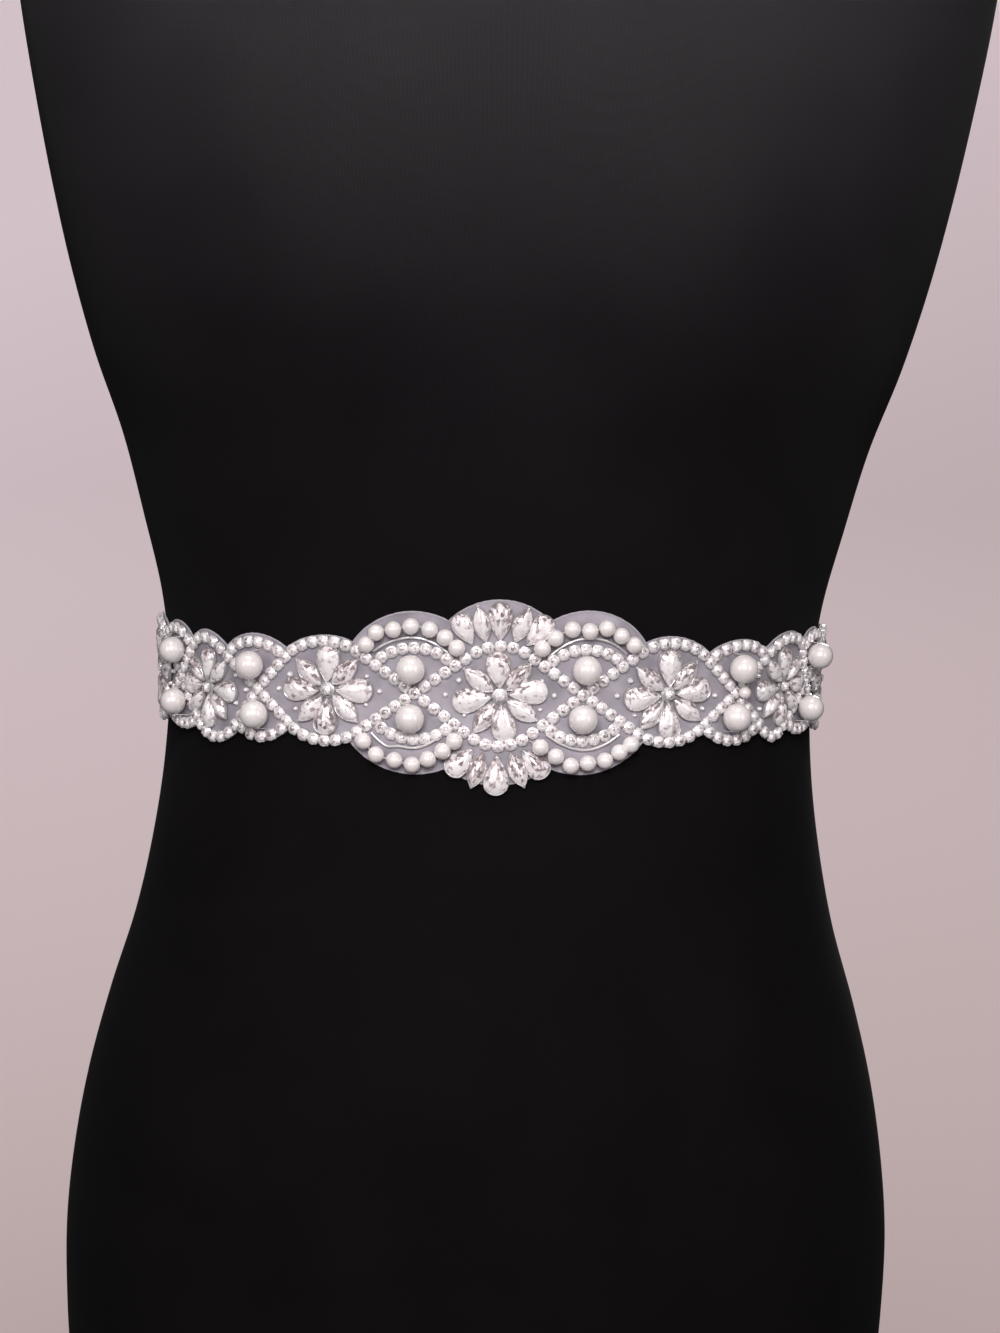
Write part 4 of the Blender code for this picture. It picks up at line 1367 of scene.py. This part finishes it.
def cloth_out(u, v):
    """How far out the organza lies: on the form's skin at its free margin, lifted under the
    trim to meet the stones, with soft creases."""
    margin = np.clip((scallop_edge(u, v) - np.abs(v)) / FREE_MARGIN, 0.0, 1.0)
    lift = margin**2 * (3 - 2 * margin)
    creases = ridges(u, v, BACKING_CREASES)
    return MARGIN_OUT + (CLOTH_UNDER_TRIM - MARGIN_OUT) * lift + creases


class SASH_OT_backing(Operator):
    """Lays the scalloped organza on the form and overcasts its edge"""

    bl_idname = "sash.backing"
    bl_label = "Organza Backing"

    def execute(self, context):
        settings = context.scene.sash.backing
        stations = scallop_stations(BACKING_STEP)
        # Rows from edge to edge that crowd towards both: 1 - (1 - share)^crowd either way
        shares = np.linspace(-1.0, 1.0, BACKING_ROWS)
        shares = np.sign(shares) * (1 - (1 - np.abs(shares)) ** BACKING_CROWD)
        u = stations[None] + 0 * shares[:, None]
        v = shares[:, None] * scallop_edge(u, shares[:, None])
        points = wear(drawn(np.stack([u, v, cloth_out(u, v)], axis=-1)))
        faces = grid_faces(*u.shape)[0]
        shape = sheeted(points, settings.wall, (shares, stations))
        places = np.stack([u, v], axis=-1).reshape(-1, 2)[faces] * MM
        shape.blocks[0].places, shape.blocks[1].places = places, places[:, ::-1]
        cloth = new_piece("organza_backing", shape, [organza_finish(settings)],
                          ["backing"])
        edge = self.edging(stations, settings)
        width = scallop_edge(stations, 1.0) + scallop_edge(stations, -1.0)
        return {"FINISHED"}

    def edging(self, stations, settings):
        """The overcast edge: a twisted cord along the scallops, round the tabs' ends too."""
        above, below = scallop_edge(stations, 1.0), scallop_edge(stations, -1.0)
        end = np.linspace(-1, 1, TAB_POINTS)[1:-1] * TAB_HALF_HEIGHT
        loop = np.concatenate([
            np.stack([stations, -below], axis=1),
            np.stack([0 * end + TAB_END, end], axis=1),
            np.stack([stations, above], axis=1)[::-1],
            np.stack([0 * end - TAB_END, -end], axis=1),
        ])
        out = cloth_out(loop[:, 0], loop[:, 1] * JUST_INSIDE) - settings.wall / MM / 2
        path = np.column_stack([loop, out])
        strand = tube(np.concatenate([path[-2:], path, path[:2]]), settings.edging / MM,
                      EDGING_SIDES, twist=EDGING_TWIST, lobes=2, lobe_rise=EDGING_SWELL)
        rings = strand.points.reshape(-1, EDGING_SIDES, 3)[2:-2]
        shape = lofted(wear(drawn(rings)), closed=True)
        return new_piece("organza_edging", shape, [edging_finish(settings)])


# Rhinestone chain

LINK_REACH, LINK_HALF_WIDTH, LINK_LOW, LINK_HIGH = 1.12, 0.45, 0.1, 0.5
CHAIN_LEAN, CHAIN_SPARKLE = 0.05, 0.8


class SASH_OT_chain(Operator):
    """Sews the rhinestone chain: two interlaced runs and a bow over each lobe"""

    bl_idname = "sash.chain"
    bl_label = "Rhinestone Chain"

    def execute(self, context):
        settings = context.scene.sash.stones
        places, headings = chain_stones(settings.pitch / MM)
        stone = cup_stone(settings.cup / MM / 2)
        seats = seated(raised(places, STONE_LOW), headings, lean=CHAIN_LEAN)
        chain = joined([repeated(stone, *seats), self.links(places, settings.pitch / MM)])
        finishes = [crystal_finish(settings), silver_finish(settings)]
        new_piece("cup_chain", chain, finishes, ["chain_lattice"],
                  sparkle=settings.sparkle * CHAIN_SPARKLE)
        return {"FINISHED"}

    def links(self, places, pitch):
        """The small bars that join each cup to its neighbour: a bar half way between any two
        stones that are one pitch apart."""
        gap = np.linalg.norm(places[:, None] - places[None], axis=2)
        first, second = np.nonzero(np.triu(gap < pitch * LINK_REACH, k=1))
        between = places[second] - places[first]
        turn = np.arctan2(between[:, 1], between[:, 0])
        half = np.array([[-1, -1], [1, -1], [1, 1], [-1, 1]]) * [1.0, LINK_HALF_WIDTH]
        bar = lofted(np.stack([raised(half, z) for z in (LINK_LOW, LINK_HIGH)]), finish=SILVER)
        middle = (places[first] + places[second]) / 2
        return repeated(bar, *seated(raised(middle, STONE_LOW), turn))


# Flowers and fans of crystals

PLATE = (
    # radius, height
    (2.7, 0.0),
    (2.8, 0.15),
    (2.8, 0.45),
    (2.6, 0.6),
)
PLATE_SIDES, PLATE_TINT = 20, 0.4
HUB_RADIUS, HUB_RISE = 1.75, 1.2
PETAL_TURN, PETAL_LEAN = 45.0, 0.06


class SASH_OT_crystals(Operator):
    """Sews on the crystal flowers, one in each ring, and the two fans"""

    bl_idname = "sash.crystals"
    bl_label = "Crystal Flowers and Fans"

    def execute(self, context):
        settings = context.scene.sash.stones
        finishes = [crystal_finish(settings), silver_finish(settings)]
        for name, u, v, size, *petals in FLOWERS:
            node = f"flower_{name}"
            shape = self.flower(np.array([u, v]), size, zip(*petals))
            new_piece(f"crystal_{node}", shape, finishes, [node],
                      sparkle=settings.sparkle)
        for name, side, crystals in FANS:
            new_piece(f"crystal_fan_{name}", self.fan(side, crystals), finishes,
                      [f"fan_{name}"], sparkle=settings.sparkle)
        return {"FINISHED"}

    def petal(self, foot, heading, tenths, shape, length, width):
        """One set crystal, from its foot in the direction of its heading."""
        middle = foot + length / 2 * toward(heading)
        seats = seated(raised(middle[None], STONE_LOW), np.array([heading]), lean=PETAL_LEAN)
        petal = set_petal(shape, length, width, tenths / 10)
        return repeated(petal.at(petal.points - [length / 2, 0.0, 0.0]), *seats)

    def flower(self, hub, size, petals):
        """Eight petals about a small cup stone on a round plate."""
        shapes = []
        for number, (extra, tenths) in enumerate(petals):
            shape, start, length, width = PETALS[number % len(PETALS)]
            heading = math.radians(PETAL_TURN * number + extra)
            foot = hub + start * toward(heading)
            shapes.append(self.petal(foot, heading, tenths, shape, length * size, width * size))
        middle = raised(hub[None], STONE_LOW)
        rings = [raised(round_rim(radius, PLATE_SIDES), height) for radius, height in PLATE]
        plate = lofted(np.array(rings), finish=SILVER, tints=PLATE_TINT)
        stone = cup_stone(HUB_RADIUS)
        stone = stone.at(stone.points + [0.0, 0.0, HUB_RISE])
        shapes += [repeated(piece, *seated(middle, np.zeros(1))) for piece in (plate, stone)]
        return joined(shapes)

    def fan(self, side, crystals):
        """Five crystals that spread from the middle ring."""
        return joined([
            self.petal(np.array([across, side * up]), math.radians(side * (90.0 - tilt)), *cut)
            for across, up, tilt, *cut in crystals
        ])


# Pearls and wires

PEARL_HOLE, SMALL_HOLE = 0.4, 0.35
PEARL_SIDES, SMALL_SIDES, CROSSING_SIDES = (31, 48), (19, 28), (15, 24)
PEARL_SLANT = 0.25
THREAD_BEND, THREAD_BEND_STEPS, THREAD_CLEAR, THREAD_SIDES = 0.6, 5, 0.2, 6
SEWING_RADIUS, STRING_RADIUS, STRING_REACH, STRING_STEP = 0.13, 0.2, 1.0, 1.0
SMALL_LOW, SMALL_LEAN = TRIM_LOW - 0.1, 0.1
CROSSING_PEARL, CROSSING_RADIUS = (90.4, 0.4, TRIM_LOW + 3.7), 2.2
BEAD_SIDES, BEAD_SUNK, BEAD_CROWN, BEAD_SPARKLE = 12, 0.1, 1.6, 0.3


class SASH_OT_pearls(Operator):
    """Sews on the large pearls, and strings the rows of small pearls round the first lobes"""

    bl_idname = "sash.pearls"
    bl_label = "Pearls"

    def execute(self, context):
        settings = context.scene.sash.pearls
        finishes = [pearl_finish(settings), thread_finish()]
        for name, u, v, share in LARGE_PEARLS:
            shape = self.sewn_pearl(np.array([u, v]), settings.large / MM / 2 * share)
            new_piece(f"large_pearl_{name}", shape, finishes, [f"pearl_{name}"])
        radius = settings.small / MM / 2
        small = bead(radius, SMALL_HOLE, *SMALL_SIDES)
        for name, places in PEARL_ROWS:
            shape = self.strung_row(small, radius, np.array(places))
            new_piece(f"pearl_string_{name}", shape, finishes, [f"pearl_row_{name}"])
        self.crossing_pearl(finishes)
        self.seed_beads(context)
        return {"FINISHED"}

    def sewn_pearl(self, middle, radius):
        """A pearl, with its thread out of both ends of its hole and down into the cloth."""
        turn = math.pi / 2 + PEARL_SLANT * math.copysign(1.0, middle[0] * middle[1])
        out = TRIM_LOW + radius
        seat = seated(np.array([[*middle, out]]), np.array([turn]))
        shapes = [repeated(bead(radius, PEARL_HOLE, *PEARL_SIDES), *seat)]
        angles = np.linspace(0.0, math.pi / 2, THREAD_BEND_STEPS + 1)
        reach = np.append(0.0, radius + THREAD_CLEAR + THREAD_BEND * (np.sin(angles) - 1))
        height = out - np.append(0.0, THREAD_BEND * (1 - np.cos(angles)))
        for end in (1, -1):
            path = raised(middle + end * np.outer(reach, toward(turn)), height)
            foot = [*path[-1, :2], CLOTH_UNDER_TRIM]
            shapes.append(self.strand(np.concatenate([path, [foot]]), SEWING_RADIUS))
        return joined(shapes)

    def strand(self, path, radius):
        """A thread along a flat path that may turn straight down: each section is square to the
        path, between a fixed sideways direction and the one that completes the frame."""
        ahead = unit(np.gradient(path, axis=0))
        side = unit(np.cross([0.0, 0.0, 1.0], path[len(path) // 2] - path[0]))
        over = np.cross(ahead, side)
        angles = even_turns(THREAD_SIDES)[:, None]
        rings = path[:, None] + radius * (np.cos(angles) * side + np.sin(angles) * over[:, None])
        return lofted(wear(rings), finish=THREAD)

    def strung_row(self, ball, radius, places):
        """Seven small pearls, with the thread that strings them and dives at both ends."""
        ahead = np.gradient(places, axis=0)
        out = SMALL_LOW + radius
        seats = seated(raised(places, out), np.arctan2(ahead[:, 1], ahead[:, 0]), lean=SMALL_LEAN)
        reach = unit(ahead) * (radius + STRING_REACH)
        corners = [places[0] - reach[0], *places, places[-1] + reach[-1]]
        path = raised(smooth_line(corners, STRING_STEP), out)
        path[[0, -1], 2] = CLOTH_UNDER_TRIM
        thread = tube(path, STRING_RADIUS, THREAD_SIDES, finish=THREAD)
        return joined([repeated(ball, *seats), thread.at(wear(thread.points))])

    def crossing_pearl(self, finishes):
        """One more small pearl, sewn on between the right second lobe's two large ones."""
        ball = bead(CROSSING_RADIUS, SMALL_HOLE, *CROSSING_SIDES)
        shape = repeated(ball, *seated(np.array([CROSSING_PEARL]), np.array([math.pi / 2])))
        new_piece("crossing_pearl", shape, finishes)

    def seed_beads(self, context):
        """Small crystal beads beside the flowers' petals."""
        beads = []
        for _, u, v, *_ in FLOWERS:
            for angle, distance, radius in SEED_BEADS:
                turn = math.radians(angle)
                place = raised([(u, v) + distance * toward(turn)], STONE_LOW - BEAD_SUNK)
                rim = round_rim(radius, BEAD_SIDES)
                stone = crystal(rim, np.zeros(2), 2, 0.0, radius * BEAD_CROWN, tints=CLEAR)
                beads.append(repeated(stone, *seated(place, np.array([turn]))))
        finish = crystal_finish(context.scene.sash.stones)
        new_piece("seed_beads", joined(beads), [finish], sparkle=BEAD_SPARKLE)


WIRE_STEP, WIRE_SIDES, WIRE_TWIST, WIRE_SWELL, WIRE_TINT = 0.25, 8, 8.0, 0.035, 0.65
STITCH_STEP, STITCH_WIDER, STITCH_HIGHER = 4.6, 0.22, 0.55
STITCH_RADIUS, STITCH_SIDES, STITCH_POINTS = 0.11, 5, 9


def thread_over(half, rise, low, turn, place):
    """A stitch that comes up on one side of a wire, passes over it and goes down on the other
    side: a flat arch (half cos a, rise sin a)."""
    angles = np.linspace(0.0, math.pi, STITCH_POINTS)
    along = half * np.cos(angles)
    return raised(place + np.outer(along, toward(turn)), low + rise * np.sin(angles))


class SASH_OT_wires(Operator):
    """Couches a fine silver wire inside each row of small pearls"""

    bl_idname = "sash.wires"
    bl_label = "Silver Wires"

    def execute(self, context):
        radius = context.scene.sash.pearls.wire / MM
        finishes = [silver_finish(context.scene.sash.stones), thread_finish()]
        for name, corners in WIRES:
            line = smooth_line(corners, WIRE_STEP)
            tubes = [tube(raised(line, TRIM_LOW + radius), radius, WIRE_SIDES, twist=WIRE_TWIST,
                          lobes=1, lobe_rise=WIRE_SWELL, tints=WIRE_TINT)]
            stitches, turns = spaced(line, STITCH_STEP)
            for point, turn in list(zip(stitches, turns + math.pi / 2))[1:-1]:
                arch = thread_over(radius + STITCH_WIDER, radius * 2 + STITCH_HIGHER,
                                   CLOTH_UNDER_TRIM, turn, point)
                tubes.append(tube(arch, STITCH_RADIUS, STITCH_SIDES, finish=THREAD))
            flat = joined(tubes)
            new_piece(f"couched_wire_{name}", flat.at(wear(flat.points)), finishes,
                      [f"wire_{name}"])
        return {"FINISHED"}


# Satin ties

RIBBON_CREASES = (
    # along (mm from the tab), across, heading, length, width, rise
    (14.0, -6.5, -6.0, 40.0, 1.5, 0.9),
    (18.0, -1.5, 1.0, 58.0, 1.7, 1.1),
    (12.0, 3.5, 5.0, 34.0, 1.3, 0.9),
    (22.0, 8.0, 10.0, 46.0, 1.6, 0.8),
    (60.0, -9.0, -4.0, 70.0, 3.2, 0.5),
    (74.0, 5.0, 3.0, 84.0, 3.8, 0.6),
    (104.0, -4.0, 7.0, 60.0, 1.8, 1.1),
    (110.0, 2.2, -3.0, 70.0, 1.5, 1.3),
    (100.0, 8.5, -9.0, 50.0, 1.7, 0.9),
    (118.0, -1.2, 2.0, 36.0, 1.1, 0.9),
)
TAIL_CREASES = (
    # across, down (mm from the knot), heading, length, width, rise
    (-2.5, 20.0, 86.0, 60.0, 1.4, 0.9),
    (2.0, 34.0, 94.0, 80.0, 1.8, 1.0),
    (6.5, 66.0, 84.0, 90.0, 2.4, 0.7),
    (-8.0, 96.0, 97.0, 110.0, 3.0, 0.6),
    (9.0, 150.0, 88.0, 90.0, 3.4, 0.5),
    (-4.0, 176.0, 78.0, 60.0, 3.0, 0.5),
)
KNOT_CREASES = (
    # across the knot (-1 to 1), round it (radians from its front), heading, length, width, rise
    (-0.62, 0.10, 84.0, 3.0, 0.13, 0.75),
    (-0.22, -0.15, 95.0, 3.4, 0.11, 0.95),
    (0.16, 0.20, 88.0, 2.8, 0.13, 0.80),
    (0.55, -0.05, 98.0, 3.2, 0.12, 0.90),
    (0.02, 1.10, 70.0, 1.4, 0.10, 0.50),
    (-0.42, -1.15, 110.0, 1.5, 0.10, 0.50),
)

RIBBON_GRID, TAIL_GRID, KNOT_GRID = (150, 61), (170, 49), (61, 120)
RIBBON_WIDTH, RIBBON_CUT_HALF = 0.038, 19.0
TAB_LAP, TAB_RISE, TAB_RISE_LENGTH = 3.0, 1.05, 5.0
CREASE_REACH, CREASE_AT_TAB = 0.86, 0.35
EDGE_RISE, EDGE_SHARE = 0.14, 0.07
RIBBON_SWAY, RIBBON_SWAY_LENGTH = 0.6, 19.0
TAIL_TUCK, TAIL_OVER = 1.6, 1.9
TAIL_RISE, TAIL_RISE_LENGTH = 0.8, 9.0
TAIL_SWAY, TAIL_SWAY_LENGTH, TAIL_SWAY_TURN = 1.3, 33.0, 1.2
KNOT_LAP, KNOT_GAP, KNOT_CUT_RADIUS = 4.5, 0.1, 9.5
KNOT_MOUTH, KNOT_SQUARENESS, KNOT_HEIGHT_SHARE = 1.22, 0.72, 0.97
KNOT_TURN_IN, KNOT_NARROWER, KNOT_CLOSE, KNOT_SUNK = 0.55, 0.20, 1.3, 0.35
SOFT_FOLD = 60.0


def pleats(side, count):
    """Even folds across a ribbon: (1 - cos) / 2, count times from one edge to the other."""
    return (1 - np.cos(2 * math.pi * count * (side + 1) / 2)) / 2


class SASH_OT_ties(Operator):
    """Ties the satin ribbons in a flat knot at the centre back, with two hanging ends"""

    bl_idname = "sash.ties"
    bl_label = "Satin Ties"

    def execute(self, context):
        settings = context.scene.sash.ties
        self.finish, self.wall = satin_finish(settings), settings.wall
        for name, way in (("left", -1), ("right", 1)):
            self.ribbon(name, way)
            self.tail(name, way)
        self.knot()
        return {"FINISHED"}

    def grid(self, rows, columns):
        """How far along a ribbon each row is, from 0 to 1, and across it each column, from -1."""
        return np.linspace(0.0, 1.0, rows)[:, None], np.linspace(-1.0, 1.0, columns)[None]

    def satin(self, part, flat, cut, **closed):
        """A piece of satin, from its outer side laid out flat and its places in the cut."""
        points = wear(np.stack(np.broadcast_arrays(*flat), axis=-1))
        shape = sheeted(points[::-1], self.wall, (cut[0][::-1], cut[1]), **closed)
        return new_piece(f"satin_{part}", shape, [self.finish], [part],
                         sharp=SOFT_FOLD)

    def ribbon(self, name, way):
        """From the tab to the knot: the ribbon's half width and pleats come from the table, and
        out = rest + pleats (1 - cos) / 2 + creases, gathered at both ends."""
        start, end = TAB_END - TAB_LAP, BACK_CENTRE - KNOT_HALF_WIDTH + KNOT_LAP
        run, side = self.grid(*RIBBON_GRID)
        half, depth = smooth_table(run, RIBBON, RIBBON_COLUMNS, "half_width", "pleat_depth")
        length = (end - start) * run
        fade = np.clip(length / TAB_RISE_LENGTH, 0.0, 1.0)
        crease = ridges(length + 0 * side, half * side * CREASE_REACH, RIBBON_CREASES)
        crease = crease * (CREASE_AT_TAB + (1 - CREASE_AT_TAB) * fade)
        edge = EDGE_RISE * np.clip(1 - (1 - np.abs(side)) / EDGE_SHARE, 0.0, 1.0)
        lift = CLOTH_REST + self.wall / MM + TAB_RISE * (1 - fade)
        out = lift + depth * pleats(side, RIBBON_PLEATS) + crease + edge
        sway = RIBBON_SWAY * np.sin(length / RIBBON_SWAY_LENGTH + way)
        sway = sway * np.clip(run * 4, 0.0, 1.0) * (1 - run)
        flat = way * (start + length), half * side * way + sway, out
        piece = self.satin(f"ribbon_{name}", flat, (length[:, 0], side[0] * RIBBON_CUT_HALF))
        (end - start) * MM

    def tail(self, name, way):
        """From under the knot down over the back: like the ribbon, with folds that open out
        towards an end cut on a slant."""
        run, side = self.grid(*TAIL_GRID)
        centre, half, depth = smooth_table(run, TAIL, TAIL_COLUMNS, *TAIL_COLUMNS[1:])
        down = run * (TAIL_LENGTH + TAIL_OVER + TAIL_SLANT * side * way)
        v = TAIL_TUCK - KNOT_HALF_HEIGHT - down
        (level,), (waist,) = (smooth_table(height, FORM_LEVELS, FORM_COLUMNS, "half_width")
                              for height in (WAIST + v, WAIST))
        sway = TAIL_SWAY * np.sin(down / TAIL_SWAY_LENGTH + TAIL_SWAY_TURN * way) * run
        across = -way * centre + side * half + sway
        crease = ridges(side * half * way, down, TAIL_CREASES)
        rise = TAIL_RISE * np.clip(1 - down / TAIL_RISE_LENGTH, 0.0, 1.0)
        lift = CLOTH_REST + self.wall / MM + rise
        out = lift + depth * pleats(side, TAIL_FOLDS) + crease
        piece = self.satin(f"tail_{name}", (BACK_CENTRE + across * waist / level, v, out),
                           (run[:, 0] * TAIL_LENGTH, side[0] * RIBBON_CUT_HALF))

    def knot(self):
        """A band wrapped once round the ties: a superellipse in (v, out), carried across, which
        narrows to its two mouths and turns in there, with folds as ridges along the normal."""
        rows, columns = KNOT_GRID
        t = np.linspace(-KNOT_MOUTH, KNOT_MOUTH, rows)[:, None]
        angle = even_turns(columns)[None]
        reach = np.minimum(np.abs(t), 1.0)
        turned_in = np.clip(np.abs(t) - 1.0, 0.0, 1.0)
        across = np.sign(t) * KNOT_HALF_WIDTH * (reach - KNOT_TURN_IN * turned_in)
        narrow = 1 - KNOT_NARROWER * reach**4 - KNOT_CLOSE * turned_in
        fold = ridges(t + 0 * angle, (angle + math.pi) % (2 * math.pi) - math.pi, KNOT_CREASES)
        swell = narrow + (fold - KNOT_SUNK) / KNOT_HALF_HEIGHT
        half_height = KNOT_HALF_HEIGHT * KNOT_HEIGHT_SHARE
        v = half_height * swell * power(np.sin(angle), KNOT_SQUARENESS)
        middle, half_deep = CLOTH_REST + KNOT_DEEP / 2 + KNOT_GAP, KNOT_DEEP / 2 - 2 * KNOT_GAP
        out = middle + half_deep * swell * power(np.cos(angle), KNOT_SQUARENESS)
        out = np.maximum(out, CLOTH_REST + self.wall / MM * 0.5)
        around = np.append(angle[0], 2 * math.pi) * KNOT_CUT_RADIUS
        piece = self.satin("knot", (BACK_CENTRE + across, v, out), (across[:, 0], around),
                           round_columns=True)


# Stage

FLOOR_REACH, COVE_RADIUS, WALL_TOP = 4.6, 1.6, 3.6
FLOOR_RINGS = (0.02, 1.0, 2.2, 3.4)
COVE_STEPS, BACKDROP_SIDES = 24, 96
SASH_MIDDLE = (0.0, 0.0, 0.296)
CAMERA_TURN, CAMERA_RISE, CAMERA_ROLL = -1.889, 6.244, 1.455
FRAME_WIDTH, FOCAL_PIXELS = 1000.0, 4007.0
AIM_RIGHT, AIM_DOWN = 8.6, 32.5
SENSOR = 36.0
SKY_COLOUR, SKY_STRENGTH = (0.98, 0.96, 1.0, 1.0), 0.10
LIGHTS = (
    # name, place, aim, width, height, share of the main light's power, colour
    ("main", (-0.15, -2.25, 1.25), (0.0, 0.0, 0.30), 1.0, 0.8, 1.08, (1.0, 0.985, 0.975)),
    ("left_fill", (-1.7, -1.9, 0.9), (0.0, 0.0, 0.30), 0.8, 1.4, 0.28, (1.0, 0.89, 0.91)),
    ("right_fill", (1.7, -1.9, 0.9), (0.0, 0.0, 0.30), 0.8, 1.4, 0.24, (1.0, 0.88, 0.90)),
    ("top", (0.0, -0.5, 2.2), (0.0, 0.0, 0.3), 1.2, 1.0, 0.35, (1.0, 0.99, 0.98)),
    ("back", (0.4, 2.2, 1.2), (0.0, 0.0, 0.3), 1.2, 1.0, 0.80, (1.0, 0.985, 0.97)),
)
FLOOR_LIGHT = ("floor", (0.0, 0.0, 4.2), (0.0, 0.0, 0.0), 5.0, 5.0, 1.1, (1.0, 0.985, 0.98))
FORM_LIGHT = ("form", (0.0, -0.90, 1.2), (0.0, -0.1, 0.65), 0.4, 0.2, 0.06, (0.97, 0.96, 1.0), 25.0)


class SASH_OT_stage(Operator):
    """Sets the floor with its curved backdrop, the soft lights and the camera"""

    bl_idname = "sash.stage"
    bl_label = "Stage"

    def execute(self, context):
        settings = context.scene.sash.stage
        dressed, form, stage = map(bpy.data.collections.new, ("dressed", "form", "stage"))
        for piece in context.scene.objects:
            dressed.objects.link(piece)
        form.objects.link(context.scene.objects["jersey_form"])
        self.backdrop(settings)
        stage.objects.link(self.floor)
        self.world()
        for row in LIGHTS:
            self.light(settings.power, dressed, *row)
        self.light(settings.power, stage, *FLOOR_LIGHT)
        self.light(settings.power, form, *FORM_LIGHT)
        self.camera(settings)
        # The backdrop's painted glow sheds no light on the pieces and shows in none of their
        # reflections
        self.floor.visible_diffuse = False
        self.floor.visible_glossy = False
        context.scene.view_settings.view_transform = "Standard"
        return {"FINISHED"}

    def backdrop(self, settings):
        """A round floor that curves up into a wall all the way round: a profile of (radius,
        height) turned about the upright axis."""
        bend = np.linspace(0.0, math.pi / 2, COVE_STEPS + 1)
        radius = np.concatenate([FLOOR_RINGS, FLOOR_REACH + COVE_RADIUS * np.sin(bend),
                                 [FLOOR_REACH + COVE_RADIUS]])
        height = np.concatenate([0.0 * np.array(FLOOR_RINGS), COVE_RADIUS * (1 - np.cos(bend)),
                                 [WALL_TOP]])
        angles = even_turns(BACKDROP_SIDES)
        points = np.stack([radius[:, None] * np.cos(angles), radius[:, None] * np.sin(angles),
                           height[:, None] + 0 * angles], axis=-1)
        faces = grid_faces(*points.shape[:2], round_columns=True)[0]
        mesh = bpy.data.meshes.new("studio_floor")
        middle = list(range(BACKDROP_SIDES))
        mesh.from_pydata(points.reshape(-1, 3), [], [*faces[:, ::-1].tolist(), middle])
        mesh.shade_smooth()
        mesh.materials.append(backdrop_finish(settings))
        self.floor = bpy.data.objects.new("studio_floor", mesh)
        bpy.context.scene.collection.objects.link(self.floor)

    def world(self):
        """A pale, even sky over the stage."""
        world = bpy.data.worlds.new("soft_sky")
        world.use_nodes = True
        sky = world.node_tree.nodes["Background"]
        sky.inputs["Color"].default_value = SKY_COLOUR
        sky.inputs["Strength"].default_value = SKY_STRENGTH
        bpy.context.scene.world = world

    def light(self, power, lit, name, place, aim, width, height, share, colour, spread=180.0):
        """A soft box that faces its aim and lights one collection."""
        data = bpy.data.lights.new(f"light_{name}", "AREA")
        data.shape = "RECTANGLE"
        data.size, data.size_y = width, height
        data.energy = power * share
        data.spread = math.radians(spread)
        data.color = colour
        lamp = bpy.data.objects.new(f"light_{name}", data)
        away = unit(np.array(place, float) - np.array(aim, float))
        upright = [0.0, 0.0, 1.0] if np.any(away[:2]) else [0.0, 1.0, 0.0]
        right = unit(np.cross(upright, away))
        lamp.matrix_world = pose(place, right, np.cross(away, right), away)
        lamp.visible_camera = False
        lamp.light_linking.receiver_collection = lit
        bpy.context.scene.collection.objects.link(lamp)

    def camera(self, settings):
        """The camera looks at the middle of the sash from a little left of the front and above,
        and then turns so that this point falls where it does in the frame."""
        turn, rise, roll = map(math.radians, (CAMERA_TURN, CAMERA_RISE, CAMERA_ROLL))
        back = np.array([math.sin(turn), -math.cos(turn), math.tan(rise)]) * math.cos(rise)
        right = unit(np.cross(-back, [0.0, 0.0, 1.0]))
        up = np.cross(right, -back)
        right, up = (right * math.cos(roll) + up * math.sin(roll),
                     up * math.cos(roll) - right * math.sin(roll))
        ahead = unit(-back + (right * AIM_RIGHT - up * AIM_DOWN) / FOCAL_PIXELS)
        side = unit(right - ahead * np.dot(right, ahead))
        data = bpy.data.cameras.new("camera")
        data.sensor_fit = "HORIZONTAL"
        data.sensor_width = SENSOR
        data.lens = FOCAL_PIXELS / FRAME_WIDTH * SENSOR
        camera = bpy.data.objects.new("camera", data)
        camera.matrix_world = pose(np.array(SASH_MIDDLE) + settings.distance * back, side,
                                   np.cross(side, ahead), -ahead)
        bpy.context.scene.collection.objects.link(camera)
        bpy.context.scene.camera = camera


def pose(place, right, up, back):
    """A 4 x 4 matrix from a place and three directions."""
    matrix = np.eye(4)
    matrix[:3, 0], matrix[:3, 1], matrix[:3, 2], matrix[:3, 3] = right, up, back, place
    return Matrix(matrix.tolist())


# The add-on

OPERATORS = (
    SASH_OT_dress_form,
    SASH_OT_backing,
    SASH_OT_chain,
    SASH_OT_crystals,
    SASH_OT_pearls,
    SASH_OT_wires,
    SASH_OT_ties,
    SASH_OT_stage,
)


class SASH_PT_panel(Panel):
    """Lists the sash's pieces, with their sizes and colours"""

    bl_label = "Bridal Sash"
    bl_idname = "SASH_PT_panel"
    bl_space_type = "VIEW_3D"
    bl_region_type = "UI"
    bl_category = "Sash"

    def draw(self, context):
        layout = self.layout
        for operator in OPERATORS:
            layout.operator(operator.bl_idname)
        for group in SashSettings.__annotations__:
            box = layout.box()
            settings = getattr(context.scene.sash, group)
            for name in type(settings).__annotations__:
                box.prop(settings, name)


GROUPS = (
    FormSettings,
    BackingSettings,
    StoneSettings,
    PearlSettings,
    TieSettings,
    StageSettings,
    SashSettings,
)
CLASSES = (*GROUPS, *OPERATORS, SASH_PT_panel)


def register():
    for cls in CLASSES:
        bpy.utils.register_class(cls)
    bpy.types.Scene.sash = PointerProperty(type=SashSettings)


def unregister():
    del bpy.types.Scene.sash
    for cls in reversed(CLASSES):
        bpy.utils.unregister_class(cls)


RANDOM = np.random.default_rng(SEED)


def main():
    """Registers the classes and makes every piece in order."""
    register()
    for operator in OPERATORS:
        group, name = operator.bl_idname.split(".")
        getattr(getattr(bpy.ops, group), name)()


if __name__ == "__main__":
    main()
